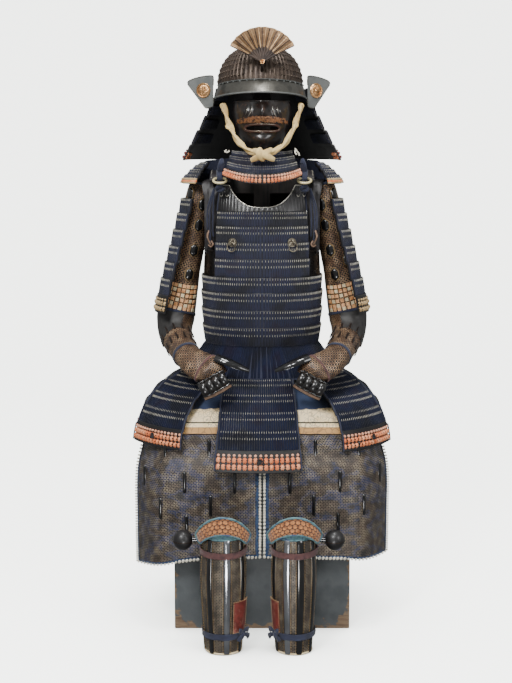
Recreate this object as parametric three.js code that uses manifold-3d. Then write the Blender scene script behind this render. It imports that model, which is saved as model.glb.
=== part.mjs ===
// A seated suit of samurai armour with its chest and its plain wooden stand.
// Millimetres, +Z up. The armour faces -Y. "right" and "left" are the wearer's, so right is at -X.
// The origin is the centre of the chest's underside, which rests on the floor.
//
// The suit is laced armour: curved lames joined by close vertical lacing, each lame lying outside the
// one above it. Sleeves, gloves, thigh guards and shin guards are cloth faced with mail and plates.
import * as THREE from "three";
import { mergeVertices } from "three/addons/utils/BufferGeometryUtils.js";
import Module from "manifold-3d";

const wasm = await Module();
wasm.setup();

// ---------------------------------------------------------------- driving dimensions

const seam = 0.5; // clear gap left between neighbouring pieces
const cloth = 2.6; // faced cloth, such as mail on hemp
const leather = 3;
const lame = { thickness: 4.4, step: 4, overlap: 5 }; // a laced lame, and how far it steps out over the next

const chest = { width: 460, depth: 440, bodyHeight: 447, lidHeight: 68, wall: 9 };
const lidTop = chest.bodyHeight + seam + chest.lidHeight;

const stand = {
  foot: { width: 220, depth: 170, height: 18 },
  post: { side: 44, y: 20, top: 1398 },
  bar: { length: 250, depth: 34, height: 50, z: 1134 },
  head: { radius: 58, height: 116 },
};

// The cuirass, as ovals around the body: half its width, and where its front and back lie in Y.
const cuirass = [
  { z: 738, halfWidth: 152, front: -136, back: 120 },
  { z: 800, halfWidth: 156, front: -146, back: 126 },
  { z: 860, halfWidth: 158, front: -149, back: 130 },
  { z: 920, halfWidth: 157, front: -147, back: 132 },
  { z: 990, halfWidth: 154, front: -138, back: 130 },
  { z: 1060, halfWidth: 150, front: -126, back: 122 },
  { z: 1100, halfWidth: 146, front: -116, back: 114 },
  { z: 1162, halfWidth: 138, front: -92, back: 96 },
];
const waistTop = 920;
const cuirassBottom = 738;
const lamesTop = 1090;
const backTop = 1136;
const frontEdge = 51; // bearing of the front's armhole edge, in degrees from straight ahead
const backEdge = 128; // bearing of the back's armhole edge

const neck = { bottom: 1101, top: 1158, halfWidth: 92, roundness: 2.7 };

// The skirt: the ring of loose lacing under the cuirass, and the seven laced tassets hung from it.
const skirtTop = { z: 657, halfWidth: 208, front: -152, back: 150 };
const tassets = [
  { name: "front", bearing: -2, facing: 0, top: 180, bottom: 222, bow: 16, lean: [48, 19], length: 262 },
  { name: "front_right", bearing: -54, facing: -47, top: 146, bottom: 192, bow: 16, lean: [78, 9], length: 240 },
  { name: "front_left", bearing: 54, facing: 47, top: 146, bottom: 192, bow: 16, lean: [78, 7], length: 243 },
  { name: "side_right", bearing: -106, facing: -97, top: 128, bottom: 176, bow: 12, lean: [76, 0], length: 240 },
  { name: "side_left", bearing: 106, facing: 97, top: 128, bottom: 176, bow: 12, lean: [76, 0], length: 240 },
  { name: "back_right", bearing: -153, facing: -176, top: 142, bottom: 176, bow: 8, lean: [74, 4], length: 240 },
  { name: "back_left", bearing: 153, facing: 176, top: 142, bottom: 176, bow: 8, lean: [74, 4], length: 240 },
];

// The thigh guard: a plain cloth top and two mail-faced panels that hang over the chest's front edge
// and wrap round its corners. wrap is how far the outer end lies behind the front.
const thighCloth = [
  { z: 636, front: -134, halfSpan: 160, wrap: 70 },
  { z: 606, front: -170, halfSpan: 190, wrap: 78 },
  { z: 560, front: -212, halfSpan: 250, wrap: 96 },
  { z: 525, front: -230, halfSpan: 282, wrap: 116 },
];
const thighPanel = [
  { z: 522.5, front: -231, halfSpan: 300, wrap: 140 },
  { z: 480, front: -237, halfSpan: 318, wrap: 150 },
  { z: 430, front: -256, halfSpan: 330, wrap: 118 },
  { z: 320, front: -262, halfSpan: 331, wrap: 108 },
  { z: 208, front: -267, halfSpan: 330, wrap: 108 },
];
const hemDrop = { right: 44, left: 14 }; // the panels' outer corners hang lower than their middles
const foldFrom = 0.73; // share of the half span at which the guard starts to turn backwards

// One sleeve, for the wearer's right arm, as sections from the shoulder to the knuckles. The hand's
// cover is cut in one with the sleeve. turn is how far the section's width leans out of level.
const sleeve = [
  { x: -160, y: 4, z: 1162, wide: 32, deep: 42, turn: 0 },
  { x: -168, y: 4, z: 1118, wide: 38, deep: 48, turn: 0 },
  { x: -183, y: 6, z: 1040, wide: 38, deep: 48, turn: 0 },
  { x: -204, y: 10, z: 940, wide: 39, deep: 47, turn: 0 },
  { x: -219, y: 14, z: 868, wide: 45, deep: 50, turn: 0 },
  { x: -233, y: 14, z: 806, wide: 51, deep: 52, turn: 0 },
  { x: -233, y: -20, z: 760, wide: 44, deep: 44, turn: 4 },
  { x: -216, y: -84, z: 734, wide: 38, deep: 36, turn: 12 },
  { x: -196, y: -148, z: 716, wide: 35, deep: 31, turn: 20 },
  { x: -172, y: -188, z: 703, wide: 39, deep: 25, turn: 26 },
  { x: -146, y: -212, z: 693, wide: 41, deep: 19, turn: 28 },
];
const fingers = { x: -122, y: -222, z: 652, radius: 31, halfWidth: 38, tilt: 28, from: 62, to: -112 };
const thumb = [
  { x: -116, y: -214, z: 717, wide: 14, deep: 12 },
  { x: -88, y: -224, z: 708, wide: 13, deep: 11 },
  { x: -58, y: -226, z: 697, wide: 9, deep: 7 },
  { x: -34, y: -224, z: 689, wide: 4, deep: 4 },
];

// One shoulder guard, hung outside the upper arm: where its outermost line lies at its top and bottom.
const shoulderGuard = { top: { x: -212, z: 1122 }, bottom: { x: -291, z: 818 }, halfWidth: [68, 86], bow: 32, y: 4 };
const shoulderWing = { x: -118, y: -2, inner: 40, outer: 98, topZ: 1213, bottomZ: 1164, from: 34, to: 146 };

// The helmet. Its bowl leans back a little; the neck guard's rings stay level.
const helmet = { x: -5, y: 4, z: 1416, halfWidth: 112, halfDepth: 130, height: 106, wall: 3, lean: 7, turn: 2 };
const brim = { bearing: 76, gap: 3, inner: { halfWidth: 115, reach: 133 }, outer: { halfWidth: 124, reach: 162 } };
const neckGuard = [
  { z: 1411, halfWidth: 117, front: -122, back: 141 },
  { z: 1388, halfWidth: 125, front: -127, back: 151 },
  { z: 1330, halfWidth: 152, front: -150, back: 176 },
  { z: 1222, halfWidth: 213, front: -186, back: 220 },
];
const neckGuardFrom = 80;
const turnbacks = [
  { side: "right", sign: -1, x: -127, y: -48, turn: 16 },
  { side: "left", sign: 1, x: 118, y: -35, turn: 32 },
];
const fan = { y: -148, z: 1472, pivot: 7, leaf: 37, radius: 91, spread: 63, pleats: 10, depth: 2.2, lean: 15 };

// The face mask: rings round a centre line at maskY, from under the eyes to the chin.
const maskY = -60;
const mask = [
  { z: 1374, halfWidth: 73, reach: 80 },
  { z: 1350, halfWidth: 77, reach: 86 },
  { z: 1322, halfWidth: 75, reach: 88 },
  { z: 1296, halfWidth: 67, reach: 86 },
  { z: 1272, halfWidth: 54, reach: 80 },
  { z: 1254, halfWidth: 40, reach: 70 },
];
const nose = { z: 1347, height: 22, width: 15, reach: 24 };
const mouth = { width: 86, height: 17, z: 1305 };
const throat = [
  { z: 1250, halfWidth: 84, front: -142, back: 60, sag: 6 },
  { z: 1222, halfWidth: 98, front: -158, back: 60, sag: 14 },
  { z: 1190, halfWidth: 114, front: -177, back: 60, sag: 26 },
];
const throatEdge = 62;

// One shin guard about its own upright axis, and the offsets of the two legs.
const legs = { right: -98, left: 80 };
const shin = [
  { z: 0, halfWidth: 44, front: -419, back: -332 },
  { z: 90, halfWidth: 50, front: -424, back: -324 },
  { z: 200, halfWidth: 55, front: -426, back: -318 },
  { z: 296, halfWidth: 50, front: -416, back: -320 },
];
const shinEdge = 128;

// The knee guard is an arched band over the shin guard's top: its heights in front and at the sides.
const knee = { edge: 77, low: { front: 312, side: 273 }, high: { front: 359, side: 296 } };
const splints = 5;

// The two rings that swing on rosettes fixed to the cuirass. standOff is how far a rosette's back lies
// outside the lames' inner line, and eye is how far the ring's pivot lies outside that back.
const rings = { bearing: 26.7, z: 1011, standOff: 5.6, eye: 9, radius: 11.5, rod: 1.7 };

// ---------------------------------------------------------------- small helpers

const radians = (degrees) => (degrees * Math.PI) / 180;
const mix = (a, b, t) => a + (b - a) * t;
const point = (x, y, z) => new THREE.Vector3(x, y, z);
const range = (count) => Array.from({ length: count }, (_, i) => i);

// A table's row at a height, by straight lines between its rows. The rows run up or down in z.
function levelAt(table, z) {
  const upwards = table[0].z < table[table.length - 1].z;
  const rows = upwards ? table : [...table].reverse();
  let i = rows.findIndex((row) => row.z >= z);
  i = i < 0 ? rows.length - 1 : Math.max(i, 1);
  const [a, b] = [rows[i - 1], rows[i]];
  const t = (z - a.z) / (b.z - a.z);
  return Object.fromEntries(Object.keys(a).map((key) => [key, mix(a[key], b[key], t)]));
}

// A point on a level's squarish oval. A bearing of 0 is straight ahead and 90 is the wearer's left.
function onOval(level, bearing, squareness = 2.25) {
  const a = radians(bearing);
  const power = 2 / squareness;
  const sine = Math.sign(Math.sin(a)) * Math.abs(Math.sin(a)) ** power;
  const cosine = Math.sign(Math.cos(a)) * Math.abs(Math.cos(a)) ** power;
  const middle = (level.front + level.back) / 2;
  return point(level.halfWidth * sine, middle - ((level.back - level.front) / 2) * cosine, level.z);
}

function outOfOval(level, bearing) {
  const along = onOval(level, bearing + 1).sub(onOval(level, bearing - 1));
  return point(along.y, -along.x, 0).normalize();
}

// A closed wall from two matching grids of points. closed joins each row's end to its start.
function wall(outer, inner, closed = false) {
  const rows = outer.length;
  const columns = outer[0].length;
  const vertices = [...outer.flat(), ...inner.flat()];
  const far = rows * columns;
  const faces = [];
  const quad = (a, b, c, d) => faces.push([a, b, c], [a, c, d]);
  const at = (r, c) => r * columns + (c % columns);
  const spans = closed ? columns : columns - 1;
  for (let r = 0; r < rows - 1; r++) {
    for (let c = 0; c < spans; c++) {
      quad(at(r, c), at(r, c + 1), at(r + 1, c + 1), at(r + 1, c));
      quad(far + at(r, c), far + at(r + 1, c), far + at(r + 1, c + 1), far + at(r, c + 1));
    }
    if (!closed) {
      const end = columns - 1;
      quad(at(r, 0), at(r + 1, 0), far + at(r + 1, 0), far + at(r, 0));
      quad(at(r, end), far + at(r, end), far + at(r + 1, end), at(r + 1, end));
    }
  }
  for (let c = 0; c < spans; c++) {
    quad(at(0, c), far + at(0, c), far + at(0, c + 1), at(0, c + 1));
    quad(at(rows - 1, c), at(rows - 1, c + 1), far + at(rows - 1, c + 1), far + at(rows - 1, c));
  }
  return solid(vertices, faces);
}

// Turns points and faces into a geometry whose faces point out.
function solid(vertices, faces) {
  const six = faces.reduce((sum, [a, b, c]) => {
    const cross = new THREE.Vector3().crossVectors(vertices[b], vertices[c]);
    return sum + vertices[a].dot(cross);
  }, 0);
  const turned = six < 0 ? faces.map(([a, b, c]) => [a, c, b]) : faces;
  const geometry = new THREE.BufferGeometry();
  geometry.setFromPoints(vertices);
  geometry.setIndex(turned.flat());
  return geometry;
}

// A thin sheet on a grid of outer points. Its thickness goes against the grid's own normals, which
// point away from the given inside point of each row.
function sheet(outer, insideOf, thickness, closed = false) {
  const columns = outer[0].length;
  const inner = outer.map((row, r) =>
    row.map((p, c) => {
      const before = closed ? row[(c + columns - 1) % columns] : row[Math.max(c - 1, 0)];
      const after = closed ? row[(c + 1) % columns] : row[Math.min(c + 1, columns - 1)];
      const above = outer[Math.max(r - 1, 0)][c];
      const below = outer[Math.min(r + 1, outer.length - 1)][c];
      const across = after.clone().sub(before);
      const down = below.clone().sub(above);
      const normal = across.cross(down).normalize();
      if (normal.dot(p.clone().sub(insideOf(r))) < 0) normal.negate();
      return p.clone().addScaledVector(normal, -thickness);
    }),
  );
  return wall(outer, inner, closed);
}

// A laced guard. surface(u, s) gives its point and outward direction, u across and s down, 0 to 1.
// The wall steps out at each lame's top edge and tapers in behind the next lame.
function laced({ lames, columns, length, surface }) {
  const overlap = lame.overlap / length;
  const rows = [];
  for (let k = 0; k < lames; k++) {
    const top = k / lames;
    const bottom = (k + 1) / lames;
    const last = k === lames - 1;
    rows.push({ outerAt: k ? top - overlap : top, innerAt: top, out: lame.step });
    rows.push({ outerAt: last ? bottom : bottom - overlap, innerAt: bottom, out: 0 });
  }
  const line = (s, out) =>
    range(columns + 1).map((c) => {
      const at = surface(c / columns, s);
      return at.point.clone().addScaledVector(at.out, out);
    });
  const outer = rows.map((row) => line(row.outerAt, row.out));
  const inner = rows.map((row) => line(row.innerAt, row.out - lame.thickness));
  return wall(outer, inner);
}

// The surface of a laced band around ovals, between two bearings and two heights.
function band(table, from, to, topZ, bottomZ, sagOf = () => 0) {
  return (u, s) => {
    const bearing = mix(from, to, u);
    const level = levelAt(table, mix(topZ, bottomZ, s));
    const at = onOval(level, bearing);
    at.z -= sagOf(level, bearing);
    return { point: at, out: outOfOval(level, bearing) };
  };
}

// A ring of points around a section of a limb. tangent is the limb's direction there.
function section(at, tangent, widthAxis, angles) {
  const wide = widthAxis.clone().addScaledVector(tangent, -widthAxis.dot(tangent)).normalize();
  const deep = tangent.clone().cross(wide).normalize();
  return angles.map((angle) =>
    point(at.x, at.y, at.z)
      .addScaledVector(wide, at.wide * Math.cos(radians(angle)))
      .addScaledVector(deep, at.deep * Math.sin(radians(angle))),
  );
}

// A hollow limb through sections, round or open along one side.
function limb(sections, { thickness, widthOf, from = 0, sweep = 360, sides = 12 }) {
  const closed = sweep === 360;
  const angles = range(closed ? sides : sides + 1).map((i) => from + (sweep * i) / sides);
  const middle = sections.map((at) => point(at.x, at.y, at.z));
  const rings = sections.map((at, i) => {
    const tangent = middle[Math.min(i + 1, middle.length - 1)]
      .clone()
      .sub(middle[Math.max(i - 1, 0)])
      .normalize();
    return section(at, tangent, widthOf(at), angles);
  });
  return sheet(rings, (r) => middle[r], thickness, closed);
}

const mirrored = (sections) => sections.map((at) => ({ ...at, x: -at.x }));
const sides = [
  { side: "right", sign: -1 },
  { side: "left", sign: 1 },
];

function toManifold(geometry) {
  const plain = geometry.clone();
  plain.deleteAttribute("normal");
  plain.deleteAttribute("uv");
  const merged = mergeVertices(plain, 1e-4);
  return new wasm.Manifold(
    new wasm.Mesh({
      numProp: 3,
      vertProperties: merged.attributes.position.array,
      triVerts: new Uint32Array(merged.index.array),
    }),
  );
}

function fromManifold(manifold) {
  const mesh = manifold.getMesh();
  const geometry = new THREE.BufferGeometry();
  geometry.setAttribute("position", new THREE.BufferAttribute(mesh.vertProperties, 3));
  geometry.setIndex(new THREE.BufferAttribute(mesh.triVerts, 1));
  return geometry;
}

const cut = (whole, tool) => fromManifold(toManifold(whole).subtract(toManifold(tool)));
const join = (a, b) => fromManifold(toManifold(a).add(toManifold(b)));
const block = (x, y, z, width, depth, height) =>
  new THREE.BoxGeometry(width, depth, height).translate(x, y, z + height / 2);

// ---------------------------------------------------------------- materials

const finish = {
  lacing: { color: "#1b1f3a", roughness: 0.8, metalness: 0 },
  lacquer: { color: "#141214", roughness: 0.25, metalness: 0 },
  iron: { color: "#3b3632", roughness: 0.5, metalness: 0.7 },
  bronze: { color: "#8a6a4c", roughness: 0.45, metalness: 0.8 },
  ivory: { color: "#cdbb86", roughness: 0.45, metalness: 0 },
  cream: { color: "#e6cfa6", roughness: 0.85, metalness: 0 },
  mail: { color: "#6b5244", roughness: 0.7, metalness: 0.3 },
  darkMail: { color: "#3c3936", roughness: 0.75, metalness: 0.3 },
  hide: { color: "#2a2623", roughness: 0.55, metalness: 0 },
  bristle: { color: "#7d5a3c", roughness: 0.9, metalness: 0 },
  quilting: { color: "#b06a3c", roughness: 0.9, metalness: 0 },
  tape: { color: "#4a2c28", roughness: 0.85, metalness: 0 },
  chestPaint: { color: "#43474a", roughness: 0.6, metalness: 0 },
  standWood: { color: "#1c1a19", roughness: 0.6, metalness: 0 },
};
const materials = Object.fromEntries(
  Object.entries(finish).map(([key, values]) => [key, new THREE.MeshStandardMaterial(values)]),
);

const suit = new THREE.Group();
function add(name, geometry, material, parent = suit) {
  const mesh = new THREE.Mesh(geometry, materials[material]);
  mesh.name = name;
  parent.add(mesh);
  return mesh;
}

// ---------------------------------------------------------------- chest and stand

function makeChest() {
  const { width, depth, bodyHeight, lidHeight, wall: board } = chest;
  const inside = { width: width - 2 * board, depth: depth - 2 * board };
  const body = cut(
    block(0, 0, 0, width, depth, bodyHeight),
    block(0, 0, board, inside.width, inside.depth, bodyHeight),
  );
  const lid = cut(
    block(0, 0, bodyHeight + seam, width, depth, lidHeight),
    block(0, 0, bodyHeight - board, inside.width, inside.depth, lidHeight),
  );
  add("chest_body", body, "chestPaint");
  add("chest_lid", lid, "chestPaint");
}

function makeStand() {
  const { foot, post, bar, head } = stand;
  const footZ = lidTop + seam;
  const postZ = footZ + foot.height - 1;
  const upright = block(0, post.y, postZ, post.side, post.side, post.top - postZ);
  const base = block(0, post.y, footZ, foot.width, foot.depth, foot.height);
  const shoulders = block(0, post.y, bar.z, bar.length, bar.depth, bar.height);
  add("stand_post", join(join(upright, base), shoulders), "standWood");
  const dome = [
    new THREE.Vector2(0, 0),
    new THREE.Vector2(head.radius * 0.8, 0),
    new THREE.Vector2(head.radius, head.height * 0.35),
    new THREE.Vector2(head.radius * 0.8, head.height * 0.75),
    new THREE.Vector2(head.radius * 0.42, head.height * 0.96),
    new THREE.Vector2(0, head.height),
  ];
  const headBlock = new THREE.LatheGeometry(dome, 14).rotateX(Math.PI / 2);
  headBlock.translate(0, 8, post.top + seam);
  add("stand_head_block", headBlock, "standWood");
}

// ---------------------------------------------------------------- cuirass

function makeCuirass() {
  const laceBand = (name, from, to, topZ, bottomZ, lames, columns) =>
    add(
      name,
      laced({ lames, columns, length: topZ - bottomZ, surface: band(cuirass, from, to, topZ, bottomZ) }),
      "lacing",
    );
  const sideSeam = 90;
  const gap = 0.3;
  laceBand("cuirass_front", -frontEdge, frontEdge, lamesTop, waistTop + seam, 4, 8);
  laceBand("cuirass_back", backEdge, 360 - backEdge, backTop, waistTop + seam, 5, 8);
  laceBand("cuirass_waist_front", -sideSeam + gap, sideSeam - gap, waistTop, cuirassBottom, 4, 12);
  laceBand("cuirass_waist_back", sideSeam + gap, 360 - sideSeam - gap, waistTop, cuirassBottom, 4, 12);

  // The leather chest plate, cut away in a U under the throat.
  const topOf = (x) => {
    const share = Math.min(Math.abs(x) / neck.halfWidth, 1);
    return mix(neck.bottom, neck.top, share ** neck.roundness);
  };
  const plateRow = (s) =>
    range(17).map((c) => {
      const bearing = mix(-frontEdge, frontEdge, c / 16);
      const low = onOval(levelAt(cuirass, lamesTop + 1), bearing);
      const high = topOf(low.x);
      return onOval(levelAt(cuirass, mix(lamesTop + 1, high, s)), bearing);
    });
  const plate = sheet([0, 0.5, 1].map(plateRow), () => point(0, 0, 1100), leather);
  add("chest_plate", plate, "lacquer");

  for (const { side, sign } of sides) {
    const rows = [0, 1].map((s) =>
      range(7).map((c) => {
        const bearing = sign * mix(frontEdge + 1.5, backEdge - 18, c / 6);
        return onOval(levelAt(cuirass, mix(waistTop + seam, waistTop + 66, s)), bearing);
      }),
    );
    add(`side_plate_${side}`, sheet(rows, () => point(0, 0, 950), leather), "lacquer");
    add(`shoulder_strap_${side}`, strap(sign), "hide");
    const ring = new THREE.TorusGeometry(17, 3.2, 6, 14).rotateX(radians(22));
    add(`toggle_ring_${side}`, ring, "ivory").position.set(sign * 110, -107, 1171);
  }
}

// A padded shoulder strap from the back plate over the shoulder to the toggle.
function strap(sign) {
  const path = [
    { y: 110, z: 1142 },
    { y: 88, z: 1170 },
    { y: 40, z: 1190 },
    { y: -16, z: 1194 },
    { y: -58, z: 1186 },
    { y: -82, z: 1170 },
  ];
  const rows = path.map(({ y, z }) => [-27, 0, 27].map((x) => point(sign * 110 + x, y, z)));
  return sheet(rows, () => point(sign * 110, 10, 1050), 5);
}

// ---------------------------------------------------------------- skirt

function makeSkirt() {
  const top = { ...levelAt(cuirass, cuirassBottom), z: cuirassBottom - seam };
  const rows = [0, 0.5, 1].map((s) => {
    const level = Object.fromEntries(Object.keys(top).map((key) => [key, mix(top[key], skirtTop[key], s)]));
    return range(24).map((c) => onOval(level, c * 15));
  });
  add("waist_lacing", sheet(rows, () => point(0, 0, 700), leather, true), "lacing");

  for (const tasset of tassets) {
    const start = onOval(skirtTop, tasset.bearing);
    const facing = radians(tasset.facing);
    const ahead = point(Math.sin(facing), -Math.cos(facing), 0);
    const across = point(Math.cos(facing), Math.sin(facing), 0);
    // The tasset falls along an arc that leans less and less.
    const fall = (s) => {
      const steps = 12;
      const at = { out: 0, drop: 0 };
      for (let i = 0; i < steps; i++) {
        const lean = radians(mix(tasset.lean[0], tasset.lean[1], ((i + 0.5) / steps) * s));
        at.out += (Math.sin(lean) * tasset.length * s) / steps;
        at.drop += (Math.cos(lean) * tasset.length * s) / steps;
      }
      return at;
    };
    const surface = (u, s) => {
      const q = 2 * u - 1;
      const { out, drop } = fall(s);
      const lean = radians(mix(tasset.lean[0], tasset.lean[1], s));
      const half = mix(tasset.top, tasset.bottom, s) / 2;
      const bow = tasset.bow * mix(0.6, 1, s);
      const at = start
        .clone()
        .addScaledVector(ahead, out - bow * q * q)
        .addScaledVector(across, q * half);
      at.z -= drop + lame.step * Math.sin(radians(tasset.lean[0])) + 2;
      const normal = ahead
        .clone()
        .multiplyScalar(Math.cos(lean))
        .addScaledVector(across, (2 * q * bow) / half);
      normal.z = Math.sin(lean);
      return { point: at, out: normal.normalize() };
    };
    const shape = laced({ lames: 5, columns: 6, length: tasset.length, surface });
    add(`tasset_${tasset.name}`, shape, "lacing");
  }
}

// ---------------------------------------------------------------- thigh guard

function thighPoint(table, z, share, lowered = 0) {
  const level = levelAt(table, z);
  const bend = Math.max(0, (Math.abs(share) - foldFrom) / (1 - foldFrom));
  const hang = Math.max(0, Math.min(1, (500 - z) / 200));
  const ripple = 3 * Math.sin(Math.abs(share) * 17) * Math.abs(share) * hang;
  const drop = lowered * hang * Math.abs(share) ** 3;
  return point(level.halfSpan * share, level.front + level.wrap * bend ** 1.7 - ripple, z - drop);
}

function makeThighGuard() {
  const clothRows = thighCloth.map(({ z }) =>
    range(17).map((c) => thighPoint(thighCloth, z, mix(-1, 1, c / 16))),
  );
  add("thigh_cloth", sheet(clothRows, () => point(0, 0, 500), cloth), "cream");
  for (const { side, sign } of sides) {
    const rows = thighPanel.map(({ z }) =>
      range(15).map((c) => thighPoint(thighPanel, z, sign * mix(0.012, 1, c / 14), hemDrop[side])),
    );
    add(`thigh_panel_${side}`, sheet(rows, () => point(0, 0, 350), cloth), "darkMail");
  }
}

// ---------------------------------------------------------------- sleeves, hands and shoulder guards

function makeArms() {
  for (const { side, sign } of sides) {
    const own = (sections) => (sign < 0 ? sections : mirrored(sections));
    const level = ({ turn }) => point(Math.cos(radians(turn)), 0, -sign * Math.sin(radians(turn)));
    add(`sleeve_${side}`, limb(own(sleeve), { thickness: cloth, widthOf: level, sides: 12 }), "mail");

    const across = point(Math.cos(radians(fingers.tilt)), 0, -sign * Math.sin(radians(fingers.tilt)));
    const up = point(sign * Math.sin(radians(fingers.tilt)), 0, Math.cos(radians(fingers.tilt)));
    const centre = point(-sign * fingers.x, fingers.y, fingers.z);
    const rows = range(8).map((r) => {
      const angle = radians(mix(fingers.from, fingers.to, r / 7));
      return range(9).map((c) => {
        const q = mix(-1, 1, c / 8);
        const reach = fingers.radius * (1 - 0.1 * q * q);
        return centre
          .clone()
          .addScaledVector(across, q * fingers.halfWidth)
          .addScaledVector(up, reach * Math.sin(angle))
          .add(point(0, -reach * Math.cos(angle), 0));
      });
    });
    add(`finger_guard_${side}`, sheet(rows, () => centre, leather), "lacquer");
    const thumbFrom = -100;
    const thumbShape = limb(own(thumb), {
      thickness: 2,
      widthOf: () => point(0, 1, 0),
      from: 180 + thumbFrom,
      sweep: -2 * thumbFrom,
      sides: 8,
    });
    add(`thumb_guard_${side}`, thumbShape, "lacquer");

    add(`shoulder_guard_${side}`, shoulderGuardShape(sign), "lacing");
    add(`shoulder_wing_${side}`, shoulderWingShape(sign), "lacing");
  }
}

function shoulderGuardShape(sign) {
  const { top, bottom, halfWidth, bow, y } = shoulderGuard;
  const surface = (u, s) => {
    const q = 2 * u - 1;
    const half = mix(halfWidth[0], halfWidth[1], s);
    const inwards = bow * q * q;
    const x = mix(top.x, bottom.x, s) + inwards;
    const out = point(-1, (2 * q * bow) / half, 0).normalize();
    if (sign > 0) out.x = -out.x;
    return { point: point(-sign * x, y + q * half, mix(top.z, bottom.z, s)), out };
  };
  return laced({ lames: 7, columns: 6, length: top.z - bottom.z, surface });
}

function shoulderWingShape(sign) {
  const wing = shoulderWing;
  const surface = (u, s) => {
    const bearing = radians(mix(wing.from, wing.to, u));
    const radius = mix(wing.inner, wing.outer, s ** 0.85);
    const z = mix(wing.topZ, wing.bottomZ, s ** 1.25);
    const out = point(sign * Math.sin(bearing), -Math.cos(bearing), 1.1).normalize();
    const x = -sign * wing.x + sign * radius * Math.sin(bearing);
    return { point: point(x, wing.y - radius * Math.cos(bearing), z), out };
  };
  return laced({ lames: 4, columns: 7, length: 95, surface });
}

// ---------------------------------------------------------------- helmet

function makeHelmet() {
  const tilted = new THREE.Group();
  tilted.position.set(helmet.x, helmet.y, helmet.z);
  tilted.rotation.set(-radians(helmet.lean), 0, radians(helmet.turn), "ZYX");
  suit.add(tilted);

  // The bowl is turned about its upright axis and then stretched front to back.
  const steps = 8;
  const dome = (radius, height) =>
    range(steps + 1).map((i) => {
      const a = (i / steps) * (Math.PI / 2);
      return new THREE.Vector2(radius * Math.cos(a) ** 0.82, height * Math.sin(a) ** 0.95);
    });
  const outer = dome(helmet.halfWidth, helmet.height);
  const inner = dome(helmet.halfWidth - helmet.wall, helmet.height - helmet.wall).reverse();
  outer[steps].x = 0;
  inner[0].x = 0;
  const bowl = new THREE.LatheGeometry([...inner, ...outer], 24)
    .rotateX(Math.PI / 2)
    .scale(1, helmet.halfDepth / helmet.halfWidth, 1);
  add("helmet_bowl", facingOut(bowl), "iron", tilted);

  const brimRow = (s) =>
    range(13).map((c) => {
      const b = radians(mix(-brim.bearing, brim.bearing, c / 12));
      const halfWidth = mix(brim.inner.halfWidth, brim.outer.halfWidth, s);
      const reach = mix(brim.inner.reach, brim.outer.reach, s);
      const drop = mix(2, 36 + 4 * Math.cos(b), s);
      return point(halfWidth * Math.sin(b), -reach * Math.cos(b), -drop);
    });
  add("helmet_brim", sheet([0, 0.5, 1].map(brimRow), () => point(0, 0, -60), 2.4), "iron", tilted);

  const guard = laced({
    lames: 5,
    columns: 14,
    length: 210,
    surface: band(neckGuard, neckGuardFrom, 360 - neckGuardFrom, neckGuard[0].z, neckGuard[3].z),
  });
  add("neck_guard", guard, "lacing");

  for (const { side, sign, x, y, turn } of turnbacks) {
    const outline = new THREE.Shape();
    outline.moveTo(4, 0);
    outline.lineTo(16, -3);
    outline.quadraticCurveTo(24, -3, 29, 6);
    outline.lineTo(68, 56);
    outline.quadraticCurveTo(73, 66, 62, 71);
    outline.quadraticCurveTo(40, 82, 8, 81);
    outline.lineTo(0, 78);
    outline.lineTo(0, 4);
    const plate = new THREE.ExtrudeGeometry(outline, { depth: leather, bevelEnabled: false, curveSegments: 4 });
    plate.rotateX(Math.PI / 2);
    if (sign < 0) plate.scale(-1, 1, 1);
    plate.rotateZ(sign * radians(turn));
    plate.translate(x, y, 1361);
    add(`turnback_${side}`, facingOut(plate), "iron");
  }
  makeFan();
  makeChinCord();
}

function facingOut(geometry) {
  const plain = geometry.clone();
  plain.deleteAttribute("normal");
  plain.deleteAttribute("uv");
  const merged = mergeVertices(plain, 1e-4);
  const position = merged.attributes.position;
  const vertices = range(position.count).map((i) => new THREE.Vector3().fromBufferAttribute(position, i));
  const index = merged.index.array;
  const faces = range(index.length / 3)
    .map((i) => [index[3 * i], index[3 * i + 1], index[3 * i + 2]])
    .filter(([a, b, c]) => a !== b && b !== c && a !== c);
  return solid(vertices, faces);
}

// The crest: an open folding fan of pleated metal.
function makeFan() {
  const leaf = [
    { radius: fan.pivot, pleat: 0 },
    { radius: fan.leaf, pleat: 0.3 },
    { radius: fan.radius, pleat: 1 },
  ];
  const columns = 2 * fan.pleats;
  const grid = (offset) =>
    leaf.map(({ radius, pleat }) =>
      range(columns + 1).map((c) => {
        const a = radians(mix(-fan.spread, fan.spread, c / columns));
        const ridge = (c % 2 ? 1 : -1) * fan.depth * pleat;
        const reach = radius + (c % 2 && pleat === 1 ? 2.5 : 0);
        return point(reach * Math.sin(a), offset + ridge, reach * Math.cos(a));
      }),
    );
  const shape = wall(grid(0), grid(1.6));
  const crest = add("fan_crest", shape, "bronze");
  crest.rotation.x = -radians(fan.lean);
  crest.position.set(0, fan.y, fan.z);
}

// The chin cord runs from one side of the helmet, under the mask's chin, to the other side.
function makeChinCord() {
  const half = [
    [102, -82, 1366],
    [95, -100, 1342],
    [86, -114, 1316],
    [74, -128, 1290],
    [56, -146, 1264],
    [30, -162, 1246],
  ];
  const route = [
    ...half.map(([x, y, z]) => point(-x, y, z)),
    point(0, -168, 1240),
    ...half.reverse().map(([x, y, z]) => point(x, y, z)),
  ];
  const outline = new THREE.Shape().absellipse(0, 0, 8, 8, 0, Math.PI * 2);
  const cord = new THREE.ExtrudeGeometry(outline, {
    steps: 22,
    curveSegments: 4,
    extrudePath: new THREE.CatmullRomCurve3(route),
  });
  const knot = new THREE.SphereGeometry(1, 10, 8).scale(26, 12, 15).translate(0, -171, 1236);
  add("chin_cord", join(cord, knot), "cream");
}

// ---------------------------------------------------------------- face mask and throat guard

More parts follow.
